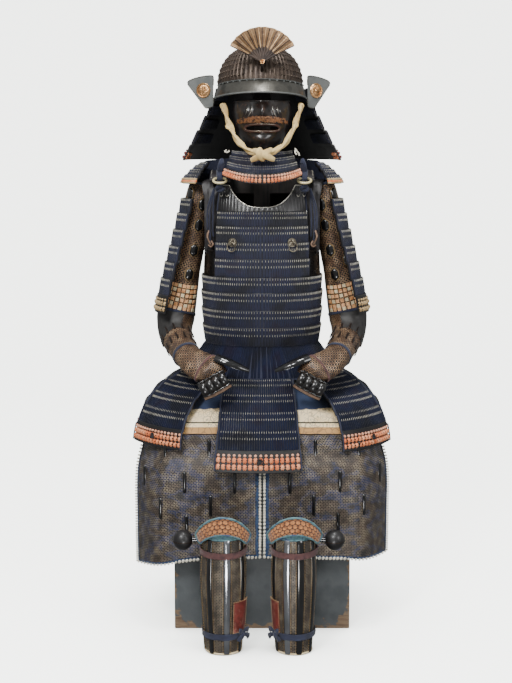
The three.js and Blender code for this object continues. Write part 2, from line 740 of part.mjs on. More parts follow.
function maskPoint(z, bearing) {
  const level = levelAt(mask, z);
  const b = radians(bearing);
  const x = level.halfWidth * Math.sin(b);
  const rise = Math.exp(-(((z - nose.z) / nose.height) ** 2));
  const bridge = nose.reach * rise * Math.exp(-((x / nose.width) ** 2));
  return point(x, maskY - level.reach * Math.cos(b) - bridge, z);
}

function makeMask() {
  const heights = [1374, 1362, 1350, 1338, 1326, 1314, 1296, 1272, 1254];
  const bearings = [-92, -72, -52, -36, -22, -11, 0, 11, 22, 36, 52, 72, 92];
  const rows = heights.map((z) => bearings.map((bearing) => maskPoint(z, bearing)));
  const face = sheet(rows, () => point(0, maskY, 1310), 3);
  const gap = block(0, -140, mouth.z - mouth.height / 2, mouth.width, 110, mouth.height);
  add("face_mask", cut(face, gap), "lacquer");

  // The moustache is a plain band where the bristles reach, just off the mask.
  const bristles = [1331, 1317].map((z) =>
    [-64, -48, -30, -14, 0, 14, 30, 48, 64].map((bearing) => {
      const at = maskPoint(z, bearing);
      const away = point(Math.sin(radians(bearing)), -Math.cos(radians(bearing)), 0);
      return at.addScaledVector(away, 6.5);
    }),
  );
  add("moustache", sheet(bristles, () => point(0, maskY, 1320), 3), "bristle");

  const sag = (level, bearing) => level.sag * Math.cos(radians(bearing)) ** 2;
  const guard = laced({
    lames: 4,
    columns: 8,
    length: 88,
    surface: band(throat, -throatEdge, throatEdge, throat[0].z, throat[2].z, sag),
  });
  add("throat_guard", guard, "lacing");
}

// ---------------------------------------------------------------- legs

function makeLegs() {
  for (const { side } of sides) {
    const shift = legs[side];
    const moved = (p) => p.add(point(shift, 0, 0));
    const columns = splints * 4;
    const outer = shin.map((level) =>
      range(columns + 1).map((c) => {
        const bearing = mix(-shinEdge, shinEdge, c / columns);
        const raised = c % 4 === 0 ? 0 : 3;
        return moved(onOval(level, bearing, 2).addScaledVector(outOfOval(level, bearing), raised));
      }),
    );
    const inner = shin.map((level) =>
      range(columns + 1).map((c) => {
        const bearing = mix(-shinEdge, shinEdge, c / columns);
        return moved(onOval(level, bearing, 2).addScaledVector(outOfOval(level, bearing), -cloth));
      }),
    );
    add(`shin_guard_${side}`, wall(outer, inner), "darkMail");

    // The knee guard arches over the shin guard's top edge, just outside it, and flares forwards.
    const arch = range(4).map((r) => {
      const s = r / 3;
      const level = {
        z: 0,
        halfWidth: mix(56.5, 68, s ** 0.7),
        front: mix(-426, -441, s ** 0.7),
        back: mix(-314, -306, s),
      };
      return range(13).map((c) => {
        const bearing = mix(-knee.edge, knee.edge, c / 12);
        const ahead = Math.max(0, Math.cos(radians(bearing))) ** 1.3;
        const at = onOval(level, bearing, 2);
        at.z = mix(mix(knee.low.side, knee.low.front, ahead), mix(knee.high.side, knee.high.front, ahead), s);
        return moved(at);
      });
    });
    add(`knee_guard_${side}`, sheet(arch, () => point(shift, -368, 270), leather), "quilting");

    const outside = side === "right" ? -1 : 1;
    const ball = new THREE.SphereGeometry(25, 12, 8).scale(1, 1, 1.04);
    const peg = new THREE.CylinderGeometry(6, 6, 36, 8).rotateZ(Math.PI / 2).translate(-outside * 28, 0, 0);
    add(`knee_knob_${side}`, join(ball, peg), "hide").position.set(shift + outside * 101, -372, 284);

    for (const tie of [
      { name: "upper", z: 254, height: 15, material: "tape", dip: 5 },
      { name: "lower", z: 44, height: 15, material: "lacing", dip: 2 },
    ]) {
      const rows = [0, 1].map((s) =>
        range(18).map((c) => {
          const bearing = c * 20;
          const level = levelAt(shin, tie.z);
          const at = onOval(level, bearing, 2).addScaledVector(outOfOval(level, bearing), 7.6);
          at.z = tie.z + s * tie.height - tie.dip * Math.cos(radians(bearing));
          return moved(at);
        }),
      );
      add(`shin_tie_${tie.name}_${side}`, sheet(rows, () => point(shift, -372, tie.z), 2, true), tie.material);
    }
  }
}

// ---------------------------------------------------------------- swinging rings on the cuirass

function makeRings() {
  for (const { side, sign } of sides) {
    const level = levelAt(cuirass, rings.z);
    const out = outOfOval(level, sign * rings.bearing);
    const at = onOval(level, sign * rings.bearing).addScaledVector(out, rings.standOff);
    const facing = Math.atan2(out.x, -out.y);
    const disc = new THREE.CylinderGeometry(12, 12, 3, 14).translate(0, -1.5, 0);
    const washer = new THREE.Shape().absellipse(0, 0, 5.4, 5.4, 0, Math.PI * 2);
    washer.holes.push(new THREE.Path().absellipse(0, 0, 2.9, 2.9, 0, Math.PI * 2, true));
    const eye = new THREE.ExtrudeGeometry(washer, { depth: 3, bevelEnabled: false, curveSegments: 5 });
    eye.translate(0, 0, -1.5);
    eye.rotateY(Math.PI / 2);
    eye.translate(0, -rings.eye, 0);
    const stem = block(0, -4, -2, 3, 3, 4);
    const mount = add(`ring_mount_${side}`, join(join(disc, stem), eye), "bronze");
    const ring = new THREE.TorusGeometry(rings.radius, rings.rod, 6, 16).rotateX(Math.PI / 2);
    ring.translate(0, -rings.eye, -rings.radius);
    const swing = add(`ring_${side}`, ring, "bronze");
    for (const piece of [mount, swing]) {
      piece.position.copy(at);
      piece.rotation.z = facing;
    }
  }
}

makeChest();
makeStand();
makeCuirass();
makeSkirt();
makeThighGuard();
makeArms();
makeHelmet();
makeMask();
makeLegs();
makeRings();

export default suit;
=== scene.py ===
import random
from math import asin, copysign, cos, degrees, exp, pi, sin, sqrt

import bpy
import numpy as np
from mathutils import Matrix, Vector, noise


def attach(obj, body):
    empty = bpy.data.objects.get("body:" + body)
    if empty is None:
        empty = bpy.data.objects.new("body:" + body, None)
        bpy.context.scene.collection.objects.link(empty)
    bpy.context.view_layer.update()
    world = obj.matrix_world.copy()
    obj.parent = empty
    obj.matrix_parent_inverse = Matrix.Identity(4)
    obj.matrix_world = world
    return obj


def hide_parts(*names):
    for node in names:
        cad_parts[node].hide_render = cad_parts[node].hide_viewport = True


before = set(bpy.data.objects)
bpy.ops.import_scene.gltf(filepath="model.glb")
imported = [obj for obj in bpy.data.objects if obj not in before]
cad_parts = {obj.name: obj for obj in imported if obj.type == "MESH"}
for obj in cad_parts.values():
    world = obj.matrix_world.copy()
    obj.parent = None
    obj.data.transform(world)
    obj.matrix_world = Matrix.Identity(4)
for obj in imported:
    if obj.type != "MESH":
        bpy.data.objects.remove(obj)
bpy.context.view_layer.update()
mm = 0.001
rng = random.Random(7)
upwards = Vector((0, 0, 1))
bothSides = (("right", -1), ("left", 1))  # the wearer's, with the sign of X

# All the sizes below are millimetres in the frame's own axes: +Z up, the armour faces -Y.
# "right" and "left" are the wearer's, so right is at -X.


def radians(angle):
    return angle * pi / 180


def mix(a, b, t):
    return a + (b - a) * t


def spaced(start, end, count):  # count steps from start to end, with both ends
    return [mix(start, end, i / count) for i in range(count + 1)]


def circle(count, radius=1.0):  # evenly spaced points round a circle
    return [(radius * cos(a), radius * sin(a)) for a in (2 * pi * k / count for k in range(count))]


def powered(value, power):  # a power that keeps the sign
    return copysign(abs(value) ** power, value)


def linear(hexColour):  # sRGB hex to the linear colour that nodes want
    parts = [int(hexColour[i : i + 2], 16) / 255 for i in (1, 3, 5)]
    return [c / 12.92 if c <= 0.04045 else ((c + 0.055) / 1.055) ** 2.4 for c in parts] + [1]


def add(tree, kind, inputs=None, **settings):  # a node with its settings, values and links
    node = tree.nodes.new(kind)
    for name, value in settings.items():
        setattr(node, name, value)
    for name, value in (inputs or {}).items():
        if isinstance(value, bpy.types.NodeSocket):
            tree.links.new(value, node.inputs[name])
        else:
            node.inputs[name].default_value = value
    return node


def levelAt(table, z):  # a table's row at a height, on a smooth curve through its rows
    rows = sorted(table, key=lambda row: row["z"])
    i = next((i for i, row in enumerate(rows) if row["z"] >= z), len(rows) - 1)
    i = max(i, 1)
    a, b = rows[i - 1], rows[i]
    before, after = rows[max(i - 2, 0)], rows[min(i + 1, len(rows) - 1)]
    span = b["z"] - a["z"]
    t = (z - a["z"]) / span
    found = {}
    for key in a:
        slopeA = (b[key] - before[key]) / max(b["z"] - before["z"], 1e-6) * span
        slopeB = (after[key] - a[key]) / max(after["z"] - a["z"], 1e-6) * span
        found[key] = (
            (2 * t**3 - 3 * t**2 + 1) * a[key]
            + (t**3 - 2 * t**2 + t) * slopeA
            + (-2 * t**3 + 3 * t**2) * b[key]
            + (t**3 - t**2) * slopeB
        )
    found["z"] = z
    return found


def onOval(level, bearing, squareness=2.25):  # 0 is straight ahead, 90 is the wearer's left
    a = radians(bearing)
    power = 2 / squareness
    sine, cosine = powered(sin(a), power), powered(cos(a), power)
    middle = (level["front"] + level["back"]) / 2
    return Vector((level["halfWidth"] * sine, middle - (level["back"] - level["front"]) / 2 * cosine, level["z"]))


def outOfOval(level, bearing):
    along = onOval(level, bearing + 1) - onOval(level, bearing - 1)
    return Vector((along.y, -along.x, 0)).normalized()


def finishMesh(obj, material, sharp=38):
    mesh = obj.data
    if material:
        mesh.materials.clear()
        mesh.materials.append(material)
    mesh.polygons.foreach_set("use_smooth", [True] * len(mesh.polygons))
    mesh.set_sharp_from_angle(angle=radians(sharp))
    mesh.update()
    return obj


def meshObject(name, vertices, faces, material=None, uvs=None, sharp=38):
    mesh = bpy.data.meshes.new(name)
    mesh.from_pydata([tuple(v) for v in vertices], [], faces)
    if uvs is not None:
        layer = mesh.uv_layers.new(name="UVMap")
        layer.data.foreach_set("uv", [value for face in uvs for corner in face for value in corner])
    obj = bpy.data.objects.new(name, mesh)
    bpy.context.scene.collection.objects.link(obj)
    return finishMesh(obj, material, sharp)


def settle(obj, body="armour", nodes=()):  # the piece's body and the solids it stands for
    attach(obj, body)
    if nodes:
        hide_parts(*nodes)
    return obj


def asGrid(points):
    return np.array([[tuple(p) for p in row] for row in points], float)


def gridNormals(points, closed):
    if closed:
        across = np.roll(points, -1, axis=1) - np.roll(points, 1, axis=1)
    else:
        across = np.gradient(points, axis=1)
    down = np.gradient(points, axis=0) if len(points) > 1 else np.zeros_like(points)
    normals = np.cross(across, down)
    return normals / np.maximum(np.linalg.norm(normals, axis=2, keepdims=True), 1e-9)


def wallObject(name, outer, inner, material, closed=False, sharp=38, swap=False):
    # A closed wall between two matching grids in mm. Its UV map is in metres along the outer grid.
    outer, inner = np.asarray(outer, float), np.asarray(inner, float)
    rows, columns = outer.shape[:2]
    ring = np.concatenate([outer, outer[:, :1]], axis=1) if closed else outer
    steps = np.linalg.norm(np.diff(ring, axis=1), axis=2)
    u = np.concatenate([np.zeros((rows, 1)), np.cumsum(steps, axis=1)], axis=1)
    u = (u - u[:, -1:] / 2) * mm
    v = np.concatenate([[0], np.cumsum(np.linalg.norm(np.diff(outer[:, columns // 2], axis=0), axis=1))]) * mm
    far = rows * columns
    faces, uvs = [], []

    def quad(corners, places):
        if swap:
            corners, places = corners[::-1], places[::-1]
        faces.append(corners)
        uvs.append([(u[r, c], -v[r]) for r, c in places])

    def at(r, c):
        return r * columns + c % columns

    spans = columns if closed else columns - 1
    for r in range(rows - 1):
        for c in range(spans):
            places = [(r, c), (r, c + 1), (r + 1, c + 1), (r + 1, c)]
            quad([at(*p) for p in places], places)
            quad([far + at(*p) for p in places[::-1]], places[::-1])
        if not closed:
            end = columns - 1
            quad(
                [at(r, 0), at(r + 1, 0), far + at(r + 1, 0), far + at(r, 0)], [(r, 0), (r + 1, 0), (r + 1, 0), (r, 0)]
            )
            quad(
                [at(r, end), far + at(r, end), far + at(r + 1, end), at(r + 1, end)],
                [(r, end), (r, end), (r + 1, end), (r + 1, end)],
            )
    low = rows - 1
    for c in range(spans):
        d = c + 1
        quad([at(0, c), far + at(0, c), far + at(0, d), at(0, d)], [(0, c), (0, c), (0, d), (0, d)])
        quad([at(low, c), at(low, d), far + at(low, d), far + at(low, c)], [(low, c), (low, d), (low, d), (low, c)])
    vertices = np.concatenate([outer.reshape(-1, 3), inner.reshape(-1, 3)]) * mm
    return meshObject(name, vertices, faces, material, uvs, sharp)


def sheetObject(name, points, thickness, material, inside, closed=False, sharp=50):
    # A sheet whose outer face is the grid. Its thickness goes towards the inside point.
    outer = asGrid(points)
    normals = gridNormals(outer, closed)
    swap = np.sum(normals * (outer - np.array(inside, float))) < 0
    if swap:
        normals = -normals
    return wallObject(name, outer, outer - normals * thickness, material, closed, sharp, not swap)


def smoothPath(points, count, closed=False):  # a Catmull-Rom curve through the points, evenly spaced
    keys = [Vector(p) for p in points]
    if closed:
        keys = keys[-1:] + keys + keys[:2]
    else:
        keys = [2 * keys[0] - keys[1]] + keys + [2 * keys[-1] - keys[-2]]
    fine = []
    for i in range(1, len(keys) - 2):
        a, b, c, d = keys[i - 1 : i + 3]
        for j in range(24):
            t = j / 24
            fine.append(
                0.5 * (2 * b + (c - a) * t + (2 * a - 5 * b + 4 * c - d) * t**2 + (3 * b - a - 3 * c + d) * t**3)
            )
    fine.append(keys[-2])
    lengths = [0]
    for a, b in zip(fine, fine[1:]):
        lengths.append(lengths[-1] + (b - a).length)
    result, j = [], 0
    for i in range(count):
        want = lengths[-1] * i / (count if closed else count - 1)
        while j < len(fine) - 2 and lengths[j + 1] < want:
            j += 1
        span = max(lengths[j + 1] - lengths[j], 1e-9)
        result.append(fine[j].lerp(fine[j + 1], min(1, max(0, (want - lengths[j]) / span))))
    return result


def tubeObject(name, path, material, radius=2.0, sides=8, flat=1.0, up=(0, 0, 1), closed=False, taper=None):
    # A tube along a path. flat squashes it along its own upright, which stays close to up.
    path = [Vector(p) for p in path]
    count = len(path)
    rings = []
    for i, p in enumerate(path):
        before = path[(i - 1) % count] if closed else path[max(i - 1, 0)]
        after = path[(i + 1) % count] if closed else path[min(i + 1, count - 1)]
        along = (after - before).normalized()
        upright = Vector(up(i / count) if callable(up) else up)
        upright = (upright - along * upright.dot(along)).normalized()
        side = along.cross(upright)
        r = radius * (taper(i / max(count - 1, 1)) if taper else 1)
        angles = (2 * pi * k / sides for k in range(sides))
        rings.append([p + side * (r * cos(a)) + upright * (r * flat * sin(a)) for a in angles])
    vertices = [p * mm for ring in rings for p in ring]
    faces, uvs, run = [], [], 0
    around = 2 * pi * radius * mm
    for i in range(count if closed else count - 1):
        j = (i + 1) % count
        step = (path[j] - path[i]).length * mm
        for k in range(sides):
            m = (k + 1) % sides
            faces.append([i * sides + k, i * sides + m, j * sides + m, j * sides + k])
            a, b = around * k / sides, around * (k + 1) / sides
            uvs.append([(a, run), (b, run), (b, run + step), (a, run + step)])
        run += step
    if not closed:
        faces.append(list(range(sides))[::-1])
        faces.append([(count - 1) * sides + k for k in range(sides)])
        uvs.append([(0, 0)] * sides)
        uvs.append([(0, run)] * sides)
    return meshObject(name, vertices, faces, material, uvs, 60)


def edging(name, places, material, radius, flat, sides=8, **more):  # a tube whose upright follows the places
    points, ups = zip(*places)
    last = len(ups) - 1
    return tubeObject(
        name, points, material, radius, sides, flat, up=lambda t: ups[min(int(t * len(ups)), last)], **more
    )


def joined(name, objects):  # several loose pieces made one, with their materials kept
    bpy.ops.object.select_all(action="DESELECT")
    for obj in objects:
        obj.select_set(True)
    bpy.context.view_layer.objects.active = objects[0]
    bpy.ops.object.join()
    objects[0].name = name
    objects[0].data.name = name
    return objects[0]


def edited(obj, operation, **settings):  # one mesh operation on the whole object
    bpy.context.view_layer.objects.active = obj
    bpy.ops.object.mode_set(mode="EDIT")
    bpy.ops.mesh.select_all(action="SELECT")
    operation(**settings)
    bpy.ops.object.mode_set(mode="OBJECT")


def rightWayOut(obj):
    edited(obj, bpy.ops.mesh.normals_make_consistent, inside=False)


def weld(obj, distance):  # points closer than this many mm become one
    edited(obj, bpy.ops.mesh.remove_doubles, threshold=distance * mm)


def ringFaces(rings, count, base=0):  # quads between neighbouring rings of count points
    return [
        [base + i * count + k, base + i * count + m, base + (i + 1) * count + m, base + (i + 1) * count + k]
        for i in range(rings - 1)
        for k, m in ((k, (k + 1) % count) for k in range(count))
    ]


# a turned solid from its (radius, height) profile
def turned(name, profile, count, at, material, sharp, weldBy=0.02):
    vertices = [at(r, z, 2 * pi * k / count) * mm for r, z in profile for k in range(count)]
    obj = meshObject(name, vertices, ringFaces(len(profile), count), material)
    weld(obj, weldBy)
    rightWayOut(obj)
    return finishMesh(obj, material, sharp)


def applied(obj):  # the object's modifiers made into its mesh
    graph = bpy.context.evaluated_depsgraph_get()
    made = bpy.data.meshes.new_from_object(obj.evaluated_get(graph), preserve_all_data_layers=True, depsgraph=graph)
    obj.modifiers.clear()
    obj.data = made
    return obj


def piecesOnPointsTree():  # one template piece on every point, turned and sized by the point's own attributes
    tree = bpy.data.node_groups.new("piecesOnPoints", "GeometryNodeTree")
    kinds = {"Points": "Geometry", "Piece": "Object", "Size": "Float", "Finish": "Material"}
    sockets = {
        name: tree.interface.new_socket(name, in_out="INPUT", socket_type="NodeSocket" + kind)
        for name, kind in kinds.items()
    }
    tree.interface.new_socket("Geometry", in_out="OUTPUT", socket_type="NodeSocketGeometry")
    given = add(tree, "NodeGroupInput")
    piece = add(tree, "GeometryNodeObjectInfo", {"Object": given.outputs["Piece"]}, transform_space="ORIGINAL")
    turn = add(tree, "GeometryNodeInputNamedAttribute", {"Name": "turn"}, data_type="FLOAT_VECTOR")
    size = add(tree, "GeometryNodeInputNamedAttribute", {"Name": "size"}, data_type="FLOAT_VECTOR")
    euler = add(tree, "FunctionNodeEulerToRotation", {"Euler": turn.outputs["Attribute"]})
    scaled = add(
        tree, "ShaderNodeVectorMath", {0: size.outputs["Attribute"], "Scale": given.outputs["Size"]},
        operation="SCALE",
    )
    placed = add(
        tree,
        "GeometryNodeInstanceOnPoints",
        {
            "Points": given.outputs["Points"],
            "Instance": piece.outputs["Geometry"],
            "Rotation": euler.outputs["Rotation"],
            "Scale": scaled.outputs["Vector"],
        },
    )
    real = add(tree, "GeometryNodeRealizeInstances", {"Geometry": placed.outputs["Instances"]})
    done = add(
        tree, "GeometryNodeSetMaterial", {"Geometry": real.outputs["Geometry"], "Material": given.outputs["Finish"]}
    )
    add(tree, "NodeGroupOutput", {"Geometry": done.outputs["Geometry"]})
    return tree, {name: socket.identifier for name, socket in sockets.items()}


piecesOnPoints, inputOf = piecesOnPointsTree()
templates = []


def template(name, vertices, faces, shift=0.0, uvs=None):  # a small unit shape: X across, Y up, Z out
    uvs = uvs or [[(vertices[p][0] + shift, vertices[p][1] + shift) for p in face] for face in faces]
    obj = meshObject(name, vertices, faces, None, uvs, 60)
    templates.append(obj)
    return obj


def scatter(name, piece, spots, material, sharp=60):
    # Each spot is (centre, up, out, (width, height, depth)), in mm.
    mesh = bpy.data.meshes.new(name)
    mesh.from_pydata([tuple(spot[0] * mm) for spot in spots], [], [])
    turns, sizes = [], []
    for _, up, out, size in spots:
        upright = up.normalized()
        across = upright.cross(out).normalized()
        facing = across.cross(upright)
        turns += list(Matrix((across, upright, facing)).transposed().to_euler())
        sizes += [value * mm for value in size]
    mesh.attributes.new("turn", "FLOAT_VECTOR", "POINT").data.foreach_set("vector", turns)
    mesh.attributes.new("size", "FLOAT_VECTOR", "POINT").data.foreach_set("vector", sizes)
    obj = bpy.data.objects.new(name, mesh)
    bpy.context.scene.collection.objects.link(obj)
    modifier = obj.modifiers.new("pieces", "NODES")
    modifier.node_group = piecesOnPoints
    modifier[inputOf["Piece"]] = piece
    modifier[inputOf["Size"]] = 1.0
    modifier[inputOf["Finish"]] = material
    made = applied(obj).data
    made.name = name
    for spare in ("turn", "size"):
        if spare in made.attributes:
            made.attributes.remove(made.attributes[spare])
    return finishMesh(obj, None, sharp)


def newMaterial(name, roughness, metallic=0.0, colour=None, **values):
    material = bpy.data.materials.new(name)
    material.use_nodes = True
    tree = material.node_tree
    shader = tree.nodes["Principled BSDF"]
    shader.inputs["Roughness"].default_value = roughness
    shader.inputs["Metallic"].default_value = metallic
    if colour:
        shader.inputs["Base Color"].default_value = linear(colour)
    for key, value in values.items():
        shader.inputs[key].default_value = value
    return material, tree, shader


def place(tree, kind="Object"):
    return add(tree, "ShaderNodeTexCoord").outputs[kind]


def mottled(tree, vector, size, colours, low=0.36, high=0.64, detail=3.0, stretch=None):
    # soft patches of the given colours, each patch about size mm across
    if stretch:
        vector = add(tree, "ShaderNodeMapping", {"Vector": vector, "Scale": stretch}).outputs["Vector"]
    cloud = add(tree, "ShaderNodeTexNoise", {"Vector": vector, "Scale": 1000 / size, "Detail": detail})
    ramp = add(tree, "ShaderNodeValToRGB", {"Fac": cloud.outputs["Fac"]})
    stops = ramp.color_ramp.elements
    while len(stops) < len(colours):
        stops.new(0.5)
    for i, colour in enumerate(colours):
        stops[i].position = mix(low, high, i / (len(colours) - 1))
        stops[i].color = linear(colour)
    return ramp.outputs["Color"]


def blended(tree, factor, a, b, kind="MIX"):
    node = add(tree, "ShaderNodeMix", data_type="RGBA", blend_type=kind)
    for socket, value in ((node.inputs[0], factor), (node.inputs[6], a), (node.inputs[7], b)):
        if isinstance(value, bpy.types.NodeSocket):
            tree.links.new(value, socket)
        else:
            socket.default_value = linear(value) if isinstance(value, str) else value
    return node.outputs[2]


def calc(tree, operation, *values):
    return add(tree, "ShaderNodeMath", dict(enumerate(values)), operation=operation).outputs[0]


def between(tree, value, low, high):  # 0 below low, 1 above high, smooth between
    return add(
        tree, "ShaderNodeMapRange", {
            "Value": value, "From Min": low, "From Max": high
        }, interpolation_type="SMOOTHSTEP"
    ).outputs["Result"]


def bumped(tree, shader, height, depth, strength=1.0):  # depth is the height of the relief in mm
    node = add(tree, "ShaderNodeBump", {"Height": height, "Distance": depth * mm, "Strength": strength})
    tree.links.new(node.outputs["Normal"], shader.inputs["Normal"])


def grain(tree, vector, size, detail=2.0):
    return add(tree, "ShaderNodeTexNoise", {"Vector": vector, "Scale": 1000 / size, "Detail": detail}).outputs["Fac"]


def colourOf(tree, shader, colour):
    tree.links.new(colour, shader.inputs["Base Color"])


def roughened(tree, shader, value, low, high):
    scaled = add(tree, "ShaderNodeMapRange", {"Value": value, "To Min": low, "To Max": high}).outputs[0]
    tree.links.new(scaled, shader.inputs["Roughness"])


def split(tree, vector):
    return tuple(add(tree, "ShaderNodeSeparateXYZ", {"Vector": vector}).outputs)


def ringsWithLinkGlints(tree, uv, pitch):
    # linked rings: 0 in the holes, 0.13 on the wire and 1 where two rings link. The full value where rings link is a
    # painted highlight on the links.
    wires = []
    for shift in (0.0, 0.5):
        moved = add(
            tree, "ShaderNodeVectorMath", {0: uv, 1: (1000 / pitch,) * 3, 2: (shift, shift, 0)},
            operation="MULTIPLY_ADD",
        )
        cell = add(tree, "ShaderNodeVectorMath", {0: moved.outputs[0]}, operation="FRACTION").outputs[0]
        flat = add(tree, "ShaderNodeVectorMath", {0: cell, 1: (0.5, 0.5, 0)}, operation="DISTANCE").outputs["Value"]
        away = calc(tree, "ABSOLUTE", calc(tree, "SUBTRACT", flat, 0.34))
        wires.append(calc(tree, "SUBTRACT", 1.0, between(tree, away, 0.05, 0.13)))
    dim = calc(tree, "MULTIPLY", calc(tree, "MAXIMUM", *wires), 0.13)
    return calc(tree, "ADD", dim, calc(tree, "MULTIPLY", calc(tree, "MINIMUM", *wires), 0.87))


def plaitedSilk(name, colours, patch, roughness=0.72, gloss=0.5):
    # Plaited silk braid, vat dyed: matte, with a faint sheen and a chevron plait. The real plait is
    # about 1.2 mm long, too fine to show, so it is drawn 2.4 mm long.
    material, tree, shader = newMaterial(
        name, roughness, **{"Sheen Weight": 0.12, "Sheen Roughness": 0.4, "Specular IOR Level": gloss}
    )
    tint = mottled(tree, place(tree), patch, colours, detail=4)
    thread = mottled(tree, place(tree), 2.2, ["#9a9aa4", "#ffffff"], 0.3, 0.7)
    colourOf(tree, shader, blended(tree, 0.7, tint, thread, "MULTIPLY"))
    u, v, _ = split(tree, place(tree, "UV"))
    lean = calc(tree, "MULTIPLY", calc(tree, "ABSOLUTE", calc(tree, "SUBTRACT", u, 0.5)), 1.6)
    wave = calc(tree, "FRACT", calc(tree, "ADD", calc(tree, "MULTIPLY", v, 17.0), lean))
    bumped(tree, shader, calc(tree, "ABSOLUTE", calc(tree, "SUBTRACT", wave, 0.5)), 0.5, 0.6)
    return material


# Urushi, a sap lacquer brushed on in many coats: black, deep and glossy, faintly uneven.
def urushi(name, colours, roughness, worn=None, coat=0.5):
    material, tree, shader = newMaterial(name, roughness, **{"Coat Weight": coat, "Coat Roughness": 0.14, "IOR": 1.5})
    where = place(tree)
    colour = mottled(tree, where, 38, colours)
    if worn:
        rubbed = between(tree, grain(tree, where, 9, 6.0), 0.6, 0.68)
        colour = blended(tree, rubbed, colour, worn)
    colourOf(tree, shader, colour)
    smear = grain(tree, where, 16, 3.0)
    roughened(tree, shader, smear, roughness - 0.08, roughness + 0.14)
    bumped(tree, shader, smear, 0.35, 0.5)
    return material


# Forged metal with a patina: soft colour patches and fine pits from the hammer and rust.
def patinated(name, colours, roughness, metallic, pit=1.6, patch=26, depth=0.25, wear=None):
    material, tree, shader = newMaterial(name, roughness, metallic)
    where = place(tree)
    colour = mottled(tree, where, patch, colours, detail=6)
    if wear:
        colour = blended(tree, between(tree, grain(tree, where, 5, 6.0), 0.58, 0.7), colour, wear)
    colourOf(tree, shader, colour)
    fine = grain(tree, where, pit, 4.0)
    roughened(tree, shader, fine, roughness - 0.1, roughness + 0.16)
    bumped(tree, shader, fine, depth, 0.6)
    return material


# Woven cotton or hemp: matte, with a square weave. The real thread is about 0.5 mm, drawn at 1.2 mm.
def woven(name, colours, patch, thread=1.2, roughness=0.88, depth=0.3):
    material, tree, shader = newMaterial(name, roughness, **{"Sheen Weight": 0.15})
    u, v, _ = split(tree, place(tree, "UV"))
    waves = 2 * pi * 500 / thread  # one wave is two threads, over and under
    over = calc(tree, "SINE", calc(tree, "MULTIPLY", u, waves))
    under = calc(tree, "SINE", calc(tree, "MULTIPLY", v, waves))
    weave = calc(tree, "MULTIPLY", over, under)
    colourOf(tree, shader, mottled(tree, place(tree), patch, colours, detail=5))
    bumped(tree, shader, calc(tree, "ADD", weave, grain(tree, place(tree), 4, 3.0)), depth, 0.6)
    return material, tree, shader


# Hemp cloth faced with linked iron rings. A real ring is 4 to 5 mm; they are drawn at the given pitch.
def mailCloth(name, wire, ground, pitch, patch=46, metallic=0.4, stretch=None, roughness=0.42):
    material, tree, shader = newMaterial(name, roughness)
    where, uv = place(tree), place(tree, "UV")
    # the wire colour shows fully only where two rings link, a painted highlight; elsewhere the wire is mostly ground
    # colour
    ring = ringsWithLinkGlints(tree, uv, pitch)
    patches = mottled(tree, where, patch, ground, 0.4, 0.6, 4.0, stretch)
    wires = mottled(tree, where, 22, wire, 0.35, 0.65, 6.0)
    colourOf(tree, shader, blended(tree, ring, patches, wires))
    tree.links.new(calc(tree, "MULTIPLY", ring, metallic), shader.inputs["Metallic"])
    bumped(tree, shader, calc(tree, "ADD", ring, calc(tree, "MULTIPLY", grain(tree, where, 3), 0.4)), 0.9, 0.8)
    return material


finish = {
    "indigoSilk": plaitedSilk("plaitedSilkIndigo", ["#11131f", "#171b30", "#1a203b", "#1d1a2f"], 70),
    # the skirt's braids: the indigo silk again, darker and less glossy, painted shade
    "shadedSilk": plaitedSilk("plaitedSilkIndigoShaded", ["#0a0d1a", "#0e1427", "#111832", "#131126"], 70, 0.8, 0.2),
    # cream silk for the strap stitches, also used for the pale dashes on the lames, which are painted glints
    "paleSilkAndGlints": plaitedSilk("plaitedSilkCreamAndGlints", ["#949184", "#cbc6b2", "#b0ab99"], 30),
    "salmonSilk": plaitedSilk("plaitedSilkSalmon", ["#ee7c48", "#ff9c66", "#ffb082"], 24),
    "pinkSilk": plaitedSilk("plaitedSilkPink", ["#f0a680", "#fdc2a0"], 20),
    "blackSilk": plaitedSilk("plaitedSilkBlack", ["#0f0f12", "#18181c"], 20),
    "redSilk": plaitedSilk("plaitedSilkRed", ["#6d2a26", "#8d3a31"], 20),
    "tanSilk": plaitedSilk("plaitedSilkTan", ["#a9895c", "#d3b684", "#c0a070"], 24),
    "lameLacquer": urushi("urushiSatinBlack", ["#0b0a0b", "#131112", "#0f0d0e"], 0.5, coat=0.08),
    "lacquer": urushi("urushiBlack", ["#0c0b0b", "#141211", "#100e0f"], 0.26, "#2a211c"),
    "deepLacquer": urushi("urushiGlossBlack", ["#0b0b0c", "#121213"], 0.14),
    "maskLacquer": urushi("urushiBrownBlack", ["#0e0b0a", "#1d1410", "#13100e"], 0.32, "#3a2820", 0.25),
    "russetIron": patinated("ironRusset", ["#332a24", "#4d4138", "#3e342e"], 0.42, 0.62, wear="#665a4d"),
    "greyIron": patinated("ironGreyBurnished", ["#4b4a46", "#65635d", "#55534d"], 0.33, 0.9, patch=40),
    "dullIron": patinated("ironGreyMatte", ["#5c5f5e", "#686a68", "#626563"], 0.62, 0.35, patch=40, pit=1.0),
    "silver": patinated("silveredCopper", ["#a8a49a", "#cfcbc0"], 0.3, 0.95, patch=12, depth=0.1),
    "giltBronze": patinated("copperGiltWorn", ["#6c5440", "#8d7154", "#7b614a"], 0.4, 0.8, patch=22, wear="#b39672"),
    "brightGilt": patinated("copperGiltBright", ["#ab7f55", "#d0a474", "#bd9064"], 0.3, 0.9, patch=12, depth=0.15),
    "agedSilver": patinated("silverAged", ["#5e564b", "#918978", "#786f60"], 0.34, 0.85, patch=8, depth=0.1),
    "ivory": urushi("hornPolished", ["#c9b986", "#ddd0a4", "#d3c494"], 0.34),
    "darkBronze": patinated("copperDark", ["#2a2320", "#3a2f28"], 0.42, 0.7, patch=14),
}

